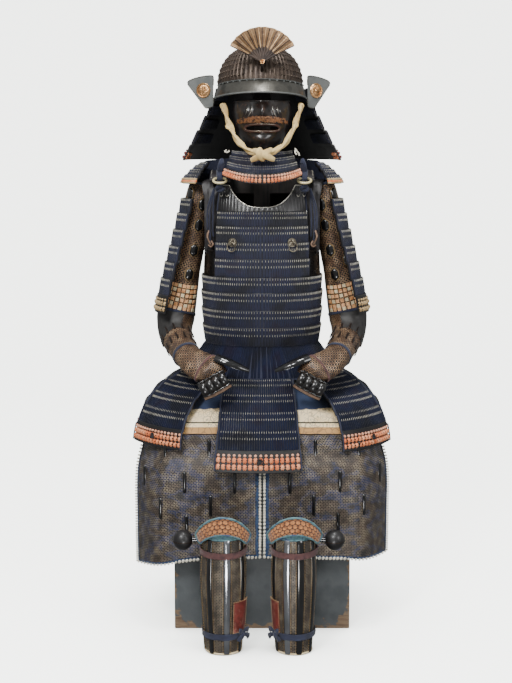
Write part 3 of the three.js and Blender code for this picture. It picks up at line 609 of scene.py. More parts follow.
mailColours = {
    "copper": ["#75583f", "#ad8765", "#e2bd95"],
    "steel": ["#574f46", "#877a6a", "#bbab90"],
}
finish["sleeveMail"] = mailCloth(
    "mailCopperOnHemp", mailColours["copper"], ["#0c0908", "#1c130e", "#120e0f"], 9.5, 40
)
finish["thighMail"] = mailCloth(
    "mailDarkOnHemp", mailColours["steel"], [
        "#0a0c13", "#14234a", "#0d0b0a", "#231711"
    ], 8.6, 46, 0.35, (1, 1, 1.6), 0.5
)
finish["shinMail"] = mailCloth("mailBrownOnHemp", mailColours["steel"], ["#0f0c0a", "#1d1711"], 8.0, 30, 0.4)
finish["creamCloth"] = woven("cottonCream", ["#cdb88d", "#e3d0a8", "#d8c49b"], 30)[0]
finish["ropeCloth"] = woven("cottonCordCream", ["#c4a266", "#dcc084", "#d0b174"], 34, 1.6)[0]
finish["plateLacquer"] = urushi("urushiOnRawhide", ["#0c0b0c", "#151314", "#100e10"], 0.42, coat=0.15)
finish["blueHemp"] = woven("hempIndigo", ["#1a2742", "#2c4363", "#161e30"], 12)[0]
finish["navyCloth"] = woven("cottonNavy", ["#1a1e30", "#23283e"], 26, 1.4)[0]
finish["purpleTape"] = woven("cottonPurpleBrown", ["#3d2628", "#563634", "#492c2c"], 20, 1.4)[0]
finish["tealCloth"] = woven("cottonTeal", ["#2f5560", "#5c8286", "#3c4f6e"], 16)[0]
finish["whiteCord"] = woven("cottonWhite", ["#d8d1bd", "#f1ecdd"], 12)[0]


lacing = {
    "thickness": 4.4,  # of a lame
    "step": 4.0,  # how far a lame's top stands out over the lame above
    "overlap": 5.0,
    "pitch": 6.0,  # from braid to braid
    "braid": (0.88, 1.9),  # share of the pitch that a braid fills, and its height
    "dash": (1.4, 7.0, 1.5),
    "glintRows": (0.1, 0.42),  # where the two rows of pale dashes lie, from a lame's top to its bottom: painted glints on the lacquered scale heads
}


def braidShape():
    # one lame's length of flat braid: rounded across, and turned down at both ends
    across = [(-0.5, 0.0), (-0.4, 0.7), (-0.14, 1.0), (0.14, 1.0), (0.4, 0.7), (0.5, 0.0)]
    along = [(-0.5, 0.5), (-0.38, 1.05), (0.38, 1.05), (0.5, 0.55)]
    vertices, faces, uvs = [], [], []
    for y, high in along:
        vertices += [(x, y, z * high) for x, z in across]
    n = len(across)
    for i in range(len(along) - 1):
        for k in range(n):
            m = (k + 1) % n
            faces.append([i * n + k, (i + 1) * n + k, (i + 1) * n + m, i * n + m][::-1])
            uvs.append([(across[p % n][0] + 0.5, along[p // n][0] + 0.5) for p in faces[-1]])
    faces += [list(range(n)), [(len(along) - 1) * n + k for k in range(n)][::-1]]
    uvs += [[(0.5, 0)] * n, [(0.5, 1)] * n]
    return template("braidTemplate", vertices, faces, uvs=uvs)


def pillowShape(name, soft=0.72, n=8, middle=((0.5, 0.4),)):  # a small rounded block: a stitch, a knot or a bead
    rings = ((0.5 * soft, 0.86), *middle, (0.5, -0.1))
    vertices = [(0, 0, 1)]
    for r, z in rings:
        vertices += [(r * cos(a), r * sin(a), z) for a in (2 * pi * (k + 0.5) / n for k in range(n))]
    faces = [[0, 1 + k, 1 + (k + 1) % n] for k in range(n)]
    for i in range(1, n * (len(rings) - 1), n):
        faces += [[i + k, i + n + k, i + n + (k + 1) % n, i + (k + 1) % n] for k in range(n)]
    faces.append([len(vertices) - n + k for k in range(n)][::-1])
    return template(name, vertices, faces, 0.5)


def crossShape():  # a cross knot: one short strap lying over another
    vertices, faces = [], []
    for turn, lift in ((-1, 0.0), (1, 0.22)):
        along = Vector((0.36 * turn, 0.38, 0)).normalized()
        side = Vector((along.y, -along.x, 0))
        base = len(vertices)
        for t, z in ((-0.6, 0.0), (-0.42, 0.62), (0, 0.78 + lift), (0.42, 0.62), (0.6, 0.0)):
            middle = along * t
            corners = ((0.3, z - 0.25), (0.17, z), (-0.17, z), (-0.3, z - 0.25))
            vertices += [middle + side * reach + Vector((0, 0, high)) for reach, high in corners]
        faces += ringFaces(5, 4, base)
        faces += [[base + 3, base + 2, base + 1, base], [base + 16, base + 17, base + 18, base + 19]]
    shape = template("crossKnotTemplate", vertices, faces, 0.5)
    rightWayOut(shape)
    return shape


braid = braidShape()
rightWayOut(braid)
stitch = pillowShape("stitchTemplate")
stud = pillowShape("studTemplate", 0.6)
dash = pillowShape("dashTemplate", 0.7, 6, ())
crossKnot = crossShape()
lacingSpots = {}


def spotsOf(area):  # the lacing of one area, a list for each kind of piece
    return lacingSpots.setdefault(area, {"braid": [], "dash": [], "knot": [], "dot": []})


def lacedGuard(name, node, area, surface, lames, length, columns=48, pitch=None, knots=None, margin=0.012, dash=None):
    # surface(u, s) gives a point and its outward direction, u across and s down, from 0 to 1
    overlap = lacing["overlap"] / length
    edge = 1.3 / length
    rows = []
    for k in range(lames):
        top, bottom, last = k / lames, (k + 1) / lames, k == lames - 1
        start = top - overlap if k else top
        end = bottom if last else bottom - overlap
        step, thick = lacing["step"], lacing["thickness"]
        rows += [
            (start, step - 1.1, top, step - thick),
            (start + edge, step, top + edge, step - thick),
            (end - edge, 0.1, bottom - edge, -thick),
            (end, -0.8 if last else 0.0, bottom, -thick),
        ]

    def line(s, out):
        return [point + away * out for point, away in (surface(c / columns, s) for c in range(columns + 1))]

    outer = [line(row[0], row[1]) for row in rows]
    inner = [line(row[2], row[3]) for row in rows]
    outs = asGrid([surface(c / columns, row[0])[1] for c in range(columns + 1)] for row in rows)
    swap = bool(np.sum(gridNormals(asGrid(outer), False) * outs) > 0)
    guard = wallObject(name, outer, inner, finish["lameLacquer"], sharp=32, swap=swap)
    settle(guard, nodes=[node])

    spots = spotsOf(area)
    pitch = pitch or lacing["pitch"]
    wide = sum((surface((c + 1) / 16, 0.5)[0] - surface(c / 16, 0.5)[0]).length for c in range(16))
    count = max(3, round(wide * (1 - 2 * margin) / pitch))
    for k in range(lames):
        top = k / lames - (overlap if k else 0)
        bottom = (k + 1) / lames - (0 if k == lames - 1 else overlap)
        if knots and k == lames - 1:
            knotRows(spots, surface, top, bottom, length, wide, knots)
            continue

        def at(u, t, lift=0.0):
            point, away = surface(u, mix(top, bottom, t))
            return point + away * (lacing["step"] * (1 - t) + lift), away

        for i in range(count):
            u = mix(margin, 1 - margin, (i + 0.5) / count)
            (high, _), (low, _) = at(u, 0.01), at(u, 0.985)
            centre, away = at(u, 0.5, 0.05)
            gap = (at(u + 0.5 / count, 0.5)[0] - at(u - 0.5 / count, 0.5)[0]).length * (1 - 2 * margin)
            size = (gap * lacing["braid"][0], (high - low).length, lacing["braid"][1] * rng.uniform(0.85, 1.1))
            spots["braid"].append((centre, high - low, away, size))
        # two rows of pale dashes on each lame: painted glints on the lacquered scale heads, drawn as small cream silk
        # pieces
        for t in lacing["glintRows"]:
            for i in range(1, count):
                u = mix(margin, 1 - margin, i / count)
                centre, away = at(u, t, 1.0)
                (high, _), (low, _) = at(u, t - 0.05), at(u, t + 0.05)
                spots["dash"].append((centre, high - low, away, dash or lacing["dash"]))


def knotRows(spots, surface, top, bottom, length, wide, knots):
    # the lowest lame: a row of small dots, then rows of cross knots
    tall = (bottom - top) * length
    count = round(wide / knots["pitch"])
    low = tall - knots["edge"] - knots["size"][1] / 2
    for r in range(knots["rows"]):
        t = (low - knots["rowPitch"] * (knots["rows"] - 1 - r)) / tall
        for i in range(count):
            u = (i + 0.5) / count
            point, away = surface(u, mix(top, bottom, t))
            upper = surface(u, mix(top, bottom, t - 0.05))[0]
            size = (knots["size"][0] * 0.78, knots["size"][1] * 0.84, 5.0)
            spots["knot"].append((point + away * (lacing["step"] * (1 - t)), upper - point, away, size))
    t = (low - knots["rowPitch"] * (knots["rows"] - 1) - knots["size"][1] / 2 - 0.5 * knots["dot"] - 0.6) / tall
    for i in range(count):
        point, away = surface((i + 0.5) / count, mix(top, bottom, t))
        upper = surface((i + 0.5) / count, mix(top, bottom, t - 0.05))[0]
        spots["dot"].append(
            (point + away * (lacing["step"] * (1 - t)), upper - point, away, (knots["dot"], knots["dot"], 3.4))
        )


def lacingPieces():
    for area, spots in lacingSpots.items():
        for kind, shape, silk in (
            # the skirt's braids take the darker indigo silk, painted shade
            ("braid", braid, finish["shadedSilk" if area == "skirt" else "indigoSilk"]),
            ("dash", dash, finish["paleSilkAndGlints"]),
            ("knot", crossKnot, finish[{"neck": "redSilk", "shoulder": "tanSilk"}.get(area, "salmonSilk")]),
            ("dot", stitch, finish[{"neck": "redSilk", "shoulder": "tanSilk"}.get(area, "pinkSilk")]),
        ):
            if spots[kind]:
                settle(scatter(f"{area}_{kind}s", shape, spots[kind], silk))


def band(table, start, end, topZ, bottomZ, sagOf=None):
    def surface(u, s):
        bearing = mix(start, end, u)
        level = levelAt(table, mix(topZ, bottomZ, s))
        point = onOval(level, bearing)
        if sagOf:
            point.z -= sagOf(level, bearing)
        return point, outOfOval(level, bearing)

    return surface


chest = {"width": 460, "depth": 440, "bodyHeight": 447, "lidHeight": 68, "wall": 9, "seam": 0.5, "rounding": 2.2}


def chestMaterial():
    # Softwood painted dark grey and lacquered thinly: satin, rubbed to brown wood at corners and foot.
    material, tree, shader = newMaterial("softwoodPaintedGrey", 0.55)
    where = place(tree)
    x, y, z = split(tree, where)
    paint = mottled(tree, where, 60, ["#484c4e", "#54585a", "#4e5254"], detail=4)
    fibre = mottled(tree, where, 12, ["#645040", "#857059", "#735d49"], detail=6, stretch=(0.2, 0.2, 2.0))
    ragged = calc(tree, "MULTIPLY", calc(tree, "SUBTRACT", grain(tree, where, 22, 6.0), 0.5), 0.075)
    side = calc(tree, "SUBTRACT", 0.23, calc(tree, "ABSOLUTE", x))
    back = calc(tree, "SUBTRACT", 0.22, calc(tree, "ABSOLUTE", y))
    upright = calc(tree, "MAXIMUM", calc(tree, "MINIMUM", side, 0.2), calc(tree, "MINIMUM", back, 0.2))
    corner = calc(tree, "SUBTRACT", 0.05, calc(tree, "ADD", calc(tree, "MULTIPLY", z, 0.8), upright))
    edge = calc(tree, "SUBTRACT", 0.004, upright)
    foot = calc(tree, "SUBTRACT", 0.014, z)
    worn = calc(tree, "MAXIMUM", calc(tree, "MAXIMUM", corner, foot), edge)
    mask = between(tree, calc(tree, "ADD", worn, ragged), 0.0, 0.006)
    colourOf(tree, shader, blended(tree, mask, paint, fibre))
    bumped(tree, shader, calc(tree, "ADD", grain(tree, where, 7, 4.0), calc(tree, "MULTIPLY", mask, -0.8)), 0.6, 0.5)
    return material


def bevelledShell(name, low, high, wall, openSide, material, rounding):
    # a box with one open side: outer walls, inner walls and a rim, then bevelled edges
    (x0, y0, z0), (x1, y1, z1) = low, high
    inner = [(x0 + wall, y0 + wall), (x1 - wall, y1 - wall)]
    if openSide == "top":
        i0, i1 = z0 + wall, z1
    else:
        i0, i1 = z0, z1 - wall
    corners = lambda a, b, za, zb: [
        (x, y, z) for z in (za, zb) for x, y in ((a[0], a[1]), (b[0], a[1]), (b[0], b[1]), (a[0], b[1]))
    ]
    vertices = corners((x0, y0), (x1, y1), z0, z1) + corners(inner[0], inner[1], i0, i1)
    around = [(k, (k + 1) % 4) for k in range(4)]
    faces = [[a, b, b + 4, a + 4] for a, b in around] + [[b + 8, a + 8, a + 12, b + 12] for a, b in around]
    if openSide == "top":
        faces += [[3, 2, 1, 0], [8, 9, 10, 11]] + [[4 + a, 4 + b, 12 + b, 12 + a] for a, b in around]
    else:
        faces += [[4, 5, 6, 7], [15, 14, 13, 12]] + [[b, a, 8 + a, 8 + b] for a, b in around]
    obj = meshObject(name, [Vector(v) * mm for v in vertices], faces, material)
    bevel = obj.modifiers.new("rounding", "BEVEL")
    bevel.width, bevel.segments = rounding * mm, 3
    applied(obj)
    rightWayOut(obj)
    return finishMesh(obj, material, 40)


def makeChest():
    w, d = chest["width"] / 2, chest["depth"] / 2
    paint = chestMaterial()
    lidZ = chest["bodyHeight"] + chest["seam"]
    body = bevelledShell(
        "chestBody", (-w, -d, 0), (w, d, chest["bodyHeight"]), chest["wall"], "top", paint, chest["rounding"]
    )
    lid = bevelledShell(
        "chestLid", (-w, -d, lidZ), (w, d, lidZ + chest["lidHeight"]), chest["wall"], "bottom", paint,
        chest["rounding"],
    )
    settle(body, nodes=["chest_body"])
    settle(lid, nodes=["chest_lid"])

    # Plain stained hardwood, planed and oiled: near black, fine upright grain.
    material, tree, shader = newMaterial("hardwoodStainedBlack", 0.5)
    where = place(tree)
    colourOf(
        tree, shader, mottled(tree, where, 10, ["#120f0e", "#2a2320", "#1b1715"], detail=6, stretch=(1, 1, 0.08))
    )
    bumped(tree, shader, grain(tree, where, 3), 0.3, 0.4)
    for name in ("stand_post", "stand_head_block"):
        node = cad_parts[name]
        node.data.materials.clear()
        node.data.materials.append(material)


makeChest()
print("chest and stand made")


cuirass = [
    {"z": 738, "halfWidth": 152, "front": -136, "back": 120},
    {"z": 800, "halfWidth": 156, "front": -146, "back": 126},
    {"z": 860, "halfWidth": 158, "front": -149, "back": 130},
    {"z": 920, "halfWidth": 157, "front": -147, "back": 132},
    {"z": 990, "halfWidth": 154, "front": -138, "back": 130},
    {"z": 1060, "halfWidth": 150, "front": -126, "back": 122},
    {"z": 1100, "halfWidth": 146, "front": -116, "back": 114},
    {"z": 1162, "halfWidth": 138, "front": -92, "back": 96},
]
body = {
    "frontEdge": 51, "backEdge": 128, "lamesTop": 1090, "backTop": 1136, "waistTop": 920, "bottom": 738,
    "neck": {"bottom": 1101, "top": 1158, "halfWidth": 92, "roundness": 2.7},
    "leather": 3,
    "rim": 1.5,  # radius of the silver roll round the neck
    "flutes": 26,
}


def neckTop(x):
    neck = body["neck"]
    return mix(neck["bottom"], neck["top"], min(abs(x) / neck["halfWidth"], 1) ** neck["roundness"])


def plateRow(s, columns, lift=0.0):
    row = []
    for c in range(columns + 1):
        bearing = mix(-body["frontEdge"], body["frontEdge"], c / columns)
        high = neckTop(onOval(levelAt(cuirass, body["lamesTop"] + 1), bearing).x)
        level = levelAt(cuirass, mix(body["lamesTop"] + 1, high, s))
        row.append(onOval(level, bearing) + outOfOval(level, bearing) * lift)
    return row


def makeCuirass():
    edge, back = body["frontEdge"], body["backEdge"]
    waist = body["waistTop"]
    for words, start, end, top, bottom, lames, columns in (
        ("Front", -edge, edge, body["lamesTop"], waist + 0.5, 4, 48),
        ("Back", back, 360 - back, body["backTop"], waist + 0.5, 5, 48),
        ("WaistFront", -89.7, 89.7, waist, body["bottom"], 4, 72),
        ("WaistBack", 90.3, 269.7, waist, body["bottom"], 4, 72),
    ):
        node = "cuirass" + "".join("_" + letter.lower() if letter.isupper() else letter for letter in words)
        surface = band(cuirass, start, end, top, bottom)
        lacedGuard(f"cuirass{words}Lames", node, "cuirass", surface, lames, top - bottom, columns)

    # The breastplate: lacquered leather with upright flutes, and a silver roll round the neck.
    columns = body["flutes"] * 8
    rows = []
    for s in spaced(0, 1, 6):
        waves = [sin(2 * pi * body["flutes"] * c / columns) for c in range(columns + 1)]
        flute = [0.9 * max(0, wave) * min(1, 3 * s) * min(1, 5 * (1 - s)) for wave in waves]
        plain, lifted = plateRow(s, columns), plateRow(s, columns, 1)
        rows.append([p + (q - p) * f for p, q, f in zip(plain, lifted, flute)])
    plate = sheetObject("breastplate", rows, body["leather"], finish["plateLacquer"], (0, 0, 1100))
    settle(plate, nodes=["chest_plate"])
    # dark cloth cords down the plate's two upright edges, put there to hide the edges' highlight: painted shade
    for side, c in (("right", 0), ("left", -1)):
        settle(tubeObject(f"breastplateEdge_{side}", [row[c] for row in rows], finish["navyCloth"], 2.4))
    rim = tubeObject("neckRim", plateRow(1, 120, 0.4), finish["silver"], body["rim"], 8, up=(0, -1, 0))
    settle(rim)

    # four silver crescents, the lower rims of the eyelets on the breastplate: the silver is the eyelets' own, and
    # drawing only the arc that catches the light is a painted highlight
    eyeletHighlights = []
    for x in (-106, -91, 94, 109):
        level = levelAt(cuirass, 1135)
        bearing = degrees(asin(powered(x / level["halfWidth"], 1.125)))
        away = outOfOval(level, bearing)
        middle = onOval(level, bearing) + away * 1.6
        across = Vector((-away.y, away.x, 0))
        lean = Vector((0, 0.3, 0.95)).normalized()
        arc = [
            middle + across * (4.6 * cos(a)) + lean * (6.5 * sin(a)) for a in map(radians, range(190, 351, 16))
        ]
        swell = lambda t: 0.35 + 0.75 * sin(pi * t)
        eyeletHighlights.append(tubeObject("crescent", arc, finish["silver"], 1.5, 8, up=(0, -1, 0), taper=swell))
    settle(joined("breastCrescents", eyeletHighlights))

    for side, sign in bothSides:
        rows = []
        for z in spaced(waist + 0.5, waist + 66, 4):
            level = levelAt(cuirass, z)
            rows.append([onOval(level, sign * bearing) for bearing in spaced(edge + 1.5, back - 18, 28)])
        plate = sheetObject(f"sidePlate_{side}", rows, body["leather"], finish["lacquer"], (0, 0, 950))
        settle(plate, nodes=[f"side_plate_{side}"])
        settle(tubeObject(f"sidePlateRim_{side}", rows[-1], finish["lacquer"], 2.2))


makeCuirass()
print("cuirass made")


skirt = {
    "top": {"z": 657, "halfWidth": 208, "front": -152, "back": 150},
    "knots": {"pitch": 13, "rows": 2, "rowPitch": 17.5, "size": (11.8, 15.5), "dot": 7.5, "edge": 6.5},
    "sideKnotPitch": 11,
    "tassets": [
        {
            "name": "front", "bearing": -2, "facing": 0, "top": 180, "bottom": 222, "bow": 16, "lean": (48, 19),
            "length": 262,
        },
        {
            "name": "front_right", "bearing": -54, "facing": -47, "top": 146, "bottom": 192, "bow": 16,
            "lean": (78, 9), "length": 240,
        },
        {
            "name": "front_left", "bearing": 54, "facing": 47, "top": 146, "bottom": 192, "bow": 16, "lean": (78, 7),
            "length": 243,
        },
        {
            "name": "side_right", "bearing": -106, "facing": -97, "top": 128, "bottom": 176, "bow": 12,
            "lean": (76, 0), "length": 240,
        },
        {
            "name": "side_left", "bearing": 106, "facing": 97, "top": 128, "bottom": 176, "bow": 12, "lean": (76, 0),
            "length": 240,
        },
        {
            "name": "back_right", "bearing": -153, "facing": -176, "top": 142, "bottom": 176, "bow": 8,
            "lean": (74, 4), "length": 240,
        },
        {
            "name": "back_left", "bearing": 153, "facing": 176, "top": 142, "bottom": 176, "bow": 8, "lean": (74, 4),
            "length": 240,
        },
    ],
}


def tassetSurface(tasset):
    start = onOval(skirt["top"], tasset["bearing"])
    facing = radians(tasset["facing"])
    ahead = Vector((sin(facing), -cos(facing), 0))
    across = Vector((cos(facing), sin(facing), 0))
    steep, gentle = tasset["lean"]
    drops = {}

    def fall(s):  # how far out and down the hanging arc has come
        if s not in drops:
            leans = [radians(mix(steep, gentle, (i + 0.5) / 12 * s)) for i in range(12)]
            reach = tasset["length"] * s / 12
            drops[s] = (sum(map(sin, leans)) * reach, sum(map(cos, leans)) * reach)
        return drops[s]

    def surface(u, s):
        q = 2 * u - 1
        out, drop = fall(s)
        lean = radians(mix(steep, gentle, s))
        half = mix(tasset["top"], tasset["bottom"], s) / 2
        bow = tasset["bow"] * mix(0.6, 1, s)
        point = start + ahead * (out - bow * q * q) + across * (q * half)
        point.z -= drop + lacing["step"] * sin(radians(steep)) + 2
        away = ahead * cos(lean) + across * (2 * q * bow / half)
        away.z = sin(lean)
        return point, away.normalized()

    return surface


def makeSkirt():
    waist = levelAt(cuirass, body["bottom"])
    waist["z"] = body["bottom"] - 0.5

    def loose(u, s):
        level = {key: mix(waist[key], skirt["top"][key], s) for key in waist}
        return onOval(level, 360 * u), outOfOval(level, 360 * u)

    # A leather band inside, hidden by the loose lacing that carries the tassets.
    heights = (0, 0.25, 0.5, 0.75, 1, 1.07)
    rows = [[point - away * 1.2 for point, away in (loose(c / 96, s) for c in range(96))] for s in heights]
    bandInside = sheetObject("waistBand", rows, 2, finish["navyCloth"], (0, 0, 700), closed=True)
    settle(bandInside, nodes=["waist_lacing"])
    spots = []
    count = 168
    for i in range(count):
        u = (i + rng.uniform(-0.16, 0.16)) / count
        high, away = loose(u, 0.0)
        low, _ = loose(u + rng.uniform(-0.3, 0.3) / count, 1.0)
        spots.append(((high + low) / 2 - away * 0.9, high - low, away, (6.6, (high - low).length, 2.2)))
    spotsOf("skirt")["braid"] += spots

    tufts = []
    for tasset in skirt["tassets"]:
        front = tasset["name"] == "front"
        knots = dict(skirt["knots"], pitch=13 if front else skirt["sideKnotPitch"])
        if not front:
            knots["size"] = (skirt["sideKnotPitch"] - 1, 13.5)
            knots["rowPitch"] = 15
        surface = tassetSurface(tasset)
        words = tasset["name"].title().replace("_", "")
        lacedGuard(
            "tasset" + words + "Lames", "tasset_" + tasset["name"], "skirt", surface, 5, tasset["length"], 36,
            knots=knots,
        )
        # a black silk tuft in the middle of the knots, and a double edging braid down both sides
        middle, away = surface(0.52, 0.885)
        up = surface(0.52, 0.86)[0] - middle
        up = up.normalized()
        for k in range(26):
            spin = radians(k * 137.5)
            tip = up * sin(spin) + up.cross(away) * cos(spin) - up * 0.3
            tufts.append((middle + away * 7 + tip * 3, tip + away * 0.5, away, (1.8, 13, 1.8)))
        for side, edge in (("right", 0.0), ("left", 1.0)):
            cord = []
            for s in (0.01 + 0.98 * k / 40 for k in range(41)):
                point, away = surface(edge, s)
                cord.append(point + away * (2.0 + lacing["step"] * (1 - (5 * s) % 1)))
            settle(tubeObject(f"tassetEdge{words}_{side}", cord, finish["navyCloth"], 2.1))
    settle(scatter("tassetTufts", stitch, tufts, finish["blackSilk"]))


makeSkirt()
print("skirt made")


thigh = {
    "cloth": [
        {"z": 636, "front": -134, "halfSpan": 160, "wrap": 70},
        {"z": 606, "front": -170, "halfSpan": 190, "wrap": 78},
        {"z": 560, "front": -212, "halfSpan": 250, "wrap": 96},
        {"z": 525, "front": -230, "halfSpan": 282, "wrap": 116},
    ],
    "panel": [
        {"z": 522.5, "front": -231, "halfSpan": 300, "wrap": 140},
        {"z": 480, "front": -237, "halfSpan": 318, "wrap": 150},
        {"z": 430, "front": -256, "halfSpan": 330, "wrap": 118},
        {"z": 320, "front": -262, "halfSpan": 331, "wrap": 108},
        {"z": 208, "front": -267, "halfSpan": 330, "wrap": 108},
    ],
    "hemDrop": {"right": 44, "left": 14},
    "foldFrom": 0.73,
    "thickness": 2.6,
    "bead": 8.2,  # pitch of the white rope beads on the middle edges and the hem
    "smallBead": 6.0,
    "hemBead": 9.4,
    "hemLength": 330,
    "splint": (8.6, 56, 4.4),
    "splintPlaces": [(137, 484), (250, 478), (200, 408), (71, 402), (133, 345), (262, 350), (306, 420), (195, 300)],
}


def thighPoint(table, z, share, lowered=0.0):
    level = levelAt(table, z)
    bend = max(0, (abs(share) - thigh["foldFrom"]) / (1 - thigh["foldFrom"]))
    hang = max(0, min(1, (500 - z) / 200))
    ripple = 3 * sin(abs(share) * 17) * abs(share) * hang
    drop = lowered * hang * abs(share) ** 3
    return Vector((level["halfSpan"] * share, level["front"] + level["wrap"] * bend**1.7 - ripple, z - drop))


def puckered(point, depth=0.9, size=26.0):  # small soft dents, as old cloth has
    return point + Vector((0, noise.noise(point / size) * depth, 0))


def brocade():
    # Cotton cloth printed in a plain scrolling repeat, faded: cream ground, thin tan outlines,
    # with one dark cord line and a tan lower border.
    material, tree, shader = woven("cottonPrintedCream", ["#f3d8a2", "#ffeabf", "#fae0b0"], 30)
    where = place(tree)
    sway = add(tree, "ShaderNodeTexNoise", {"Vector": where, "Scale": 45.0}).outputs["Color"]
    sway = add(tree, "ShaderNodeVectorMath", {0: sway, "Scale": 0.016}, operation="SCALE").outputs[0]
    warped = add(tree, "ShaderNodeVectorMath", {0: where, 1: sway}, operation="ADD")
    cells = add(
        tree, "ShaderNodeTexVoronoi", {"Vector": warped.outputs[0], "Scale": 62.0}, feature="DISTANCE_TO_EDGE"
    )
    outline = calc(tree, "SUBTRACT", 1.0, between(tree, cells.outputs["Distance"], 0.03, 0.09))
    rings = add(tree, "ShaderNodeTexVoronoi", {"Vector": warped.outputs[0], "Scale": 62.0})
    eye = calc(
        tree, "SUBTRACT", 1.0,
        between(tree, calc(tree, "ABSOLUTE", calc(tree, "SUBTRACT", rings.outputs["Distance"], 0.3)), 0.02, 0.07),
    )
    fade = between(tree, grain(tree, where, 26, 3.0), 0.34, 0.6)
    marks = calc(tree, "MULTIPLY", calc(tree, "MAXIMUM", outline, eye), calc(tree, "MULTIPLY", fade, 0.6))
    plain = shader.inputs["Base Color"].links[0].from_socket
    printed = blended(tree, marks, plain, "#7d6a5c")
    z = split(tree, where)[2]
    border = between(tree, z, 0.5415, 0.5405)
    tan = blended(tree, calc(tree, "MULTIPLY", outline, 0.8), "#b98f5b", "#8a6a4a")
    printed = blended(tree, border, printed, tan)
    line = calc(
        tree, "SUBTRACT", 1.0, between(tree, calc(tree, "ABSOLUTE", calc(tree, "SUBTRACT", z, 0.552)), 0.0012, 0.002)
    )
    printed = blended(tree, line, printed, "#1c1a1c")
    # above the print the cloth turns dark navy: partly the blue lining cloth that shows there, partly painted shade
    # under the tassets
    high = calc(tree, "ADD", z, calc(tree, "MULTIPLY", grain(tree, where, 40, 4.0), 0.02))
    colourOf(tree, shader, blended(tree, between(tree, high, 0.59, 0.593), printed, "#22304c"))
    return material


def areaOf(points):
    grid = np.array([[tuple(p) for p in row] for row in points]) * mm
    a, b = grid[1:, :-1] - grid[:-1, :-1], grid[:-1, 1:] - grid[:-1, :-1]
    c, d = grid[:-1, 1:] - grid[1:, 1:], grid[1:, :-1] - grid[1:, 1:]
    return float((np.linalg.norm(np.cross(a, b), axis=2) + np.linalg.norm(np.cross(c, d), axis=2)).sum() / 2)


def makeThighGuard():
    shares, heights = spaced(-1, 1, 110), spaced(636, 525, 30)
    rows = [[puckered(thighPoint(thigh["cloth"], z, share), 1.6) for share in shares] for z in heights]
    cloth = sheetObject("thighCloth", rows, thigh["thickness"], brocade(), (0, 60, 500))
    settle(cloth, nodes=["thigh_cloth"])
    areaOf(rows)

    beads, smallBeads, splints = [], [], []
    for side, sign in bothSides:
        lowered = thigh["hemDrop"][side]

        def at(z, share, lift=0.0):
            p = puckered(thighPoint(thigh["panel"], z, sign * share, lowered))
            q, r = (thighPoint(thigh["panel"], z, sign * (share + near), lowered) for near in (0.004, -0.004))
            away = Vector(((q - r).y, -(q - r).x, 0)).normalized() * sign
            return p + away * lift, away

        rows = [[at(z, share)[0] for share in spaced(0.012, 1, 90)] for z in spaced(522.5, 208, 70)]
        panel = sheetObject(f"thighPanel_{side}", rows, thigh["thickness"], finish["thighMail"], (0, 60, 350))
        settle(panel, nodes=[f"thigh_panel_{side}"])
        area = areaOf(rows)

        # blue hemp binding beside the beads, down the middle, along the hem and up the outer edge
        bindings = [
            ("Middle", [at(z, 0.037 + 0.004 * sin(z / 9), 0.6) for z in spaced(500, 209, 40)], 4.6),
            ("Outer", [at(z, 0.99, 0.6) for z in spaced(520, 209, 40)], 4.0),
            ("Hem", [at(211, share, 0.6) for share in spaced(0.02, 0.99, 60)], 3.2),
        ]
        for name, places, wide in bindings:
            settle(edging(f"thighBinding{name}_{side}", places, finish["blueHemp"], wide, 0.16))
        count = round((470 - 209) / thigh["bead"])
        for i in range(count):
            p, away = at(mix(470, 210, i / (count - 1)) + 2.5 * sin(7 * i), 0.017, 0.3)
            beads.append((p, Vector((0.35 * sign, 0, 1)), away, (6.8, 8.6, 4.8)))
        count = round(thigh["hemLength"] / thigh["hemBead"])
        for i in range(count):
            p, away = at(207.6, mix(0.02, 0.99, i / (count - 1)), 0.4)
            middle = abs(i / count - 0.35) < 0.3
            beads.append((p, Vector((0.6, 0, 0.8)), away, (7.6, 9.6, 4.4) if middle else (5.4, 7.0, 3.6)))
        count = round((522 - 209) / thigh["smallBead"])
        for i in range(count):
            p, away = at(mix(521, 210, i / (count - 1)), 1.0, 0.4)
            smallBeads.append((p + Vector((sign * 0.8, 0, 0)), Vector((0, 0.5, 1)), away, (6.2, 5.2, 4.6)))
        for x, z in thigh["splintPlaces"]:
            p, away = at(z, x / levelAt(thigh["panel"], z)["halfSpan"], 0.9)
            splints.append((p, upwards, away, thigh["splint"]))
    settle(scatter("thighBeads", stitch, beads + smallBeads, finish["whiteCord"]))
    settle(scatter("thighSplints", splintShape, splints, finish["deepLacquer"]))


def makeSplintShape():  # an upright half-round lacquered splint with rounded ends
    vertices = []
    along = [(-0.5, 0.2, 0.5), (-0.47, 0.75, 0.9), (-0.42, 1, 1), (0.42, 1, 1), (0.47, 0.75, 0.9), (0.5, 0.2, 0.5)]
    for y, high, wide in along:
        vertices += [(0.5 * wide * cos(radians(a)), y, high * sin(radians(a))) for a in (0, 40, 90, 140, 180)]
    faces = ringFaces(len(along), 5) + [[4, 3, 2, 1, 0], [25, 26, 27, 28, 29]]
    shape = template("splintTemplate", vertices, faces)
    rightWayOut(shape)
    return shape


splintShape = makeSplintShape()
makeThighGuard()
print("thigh guard made")


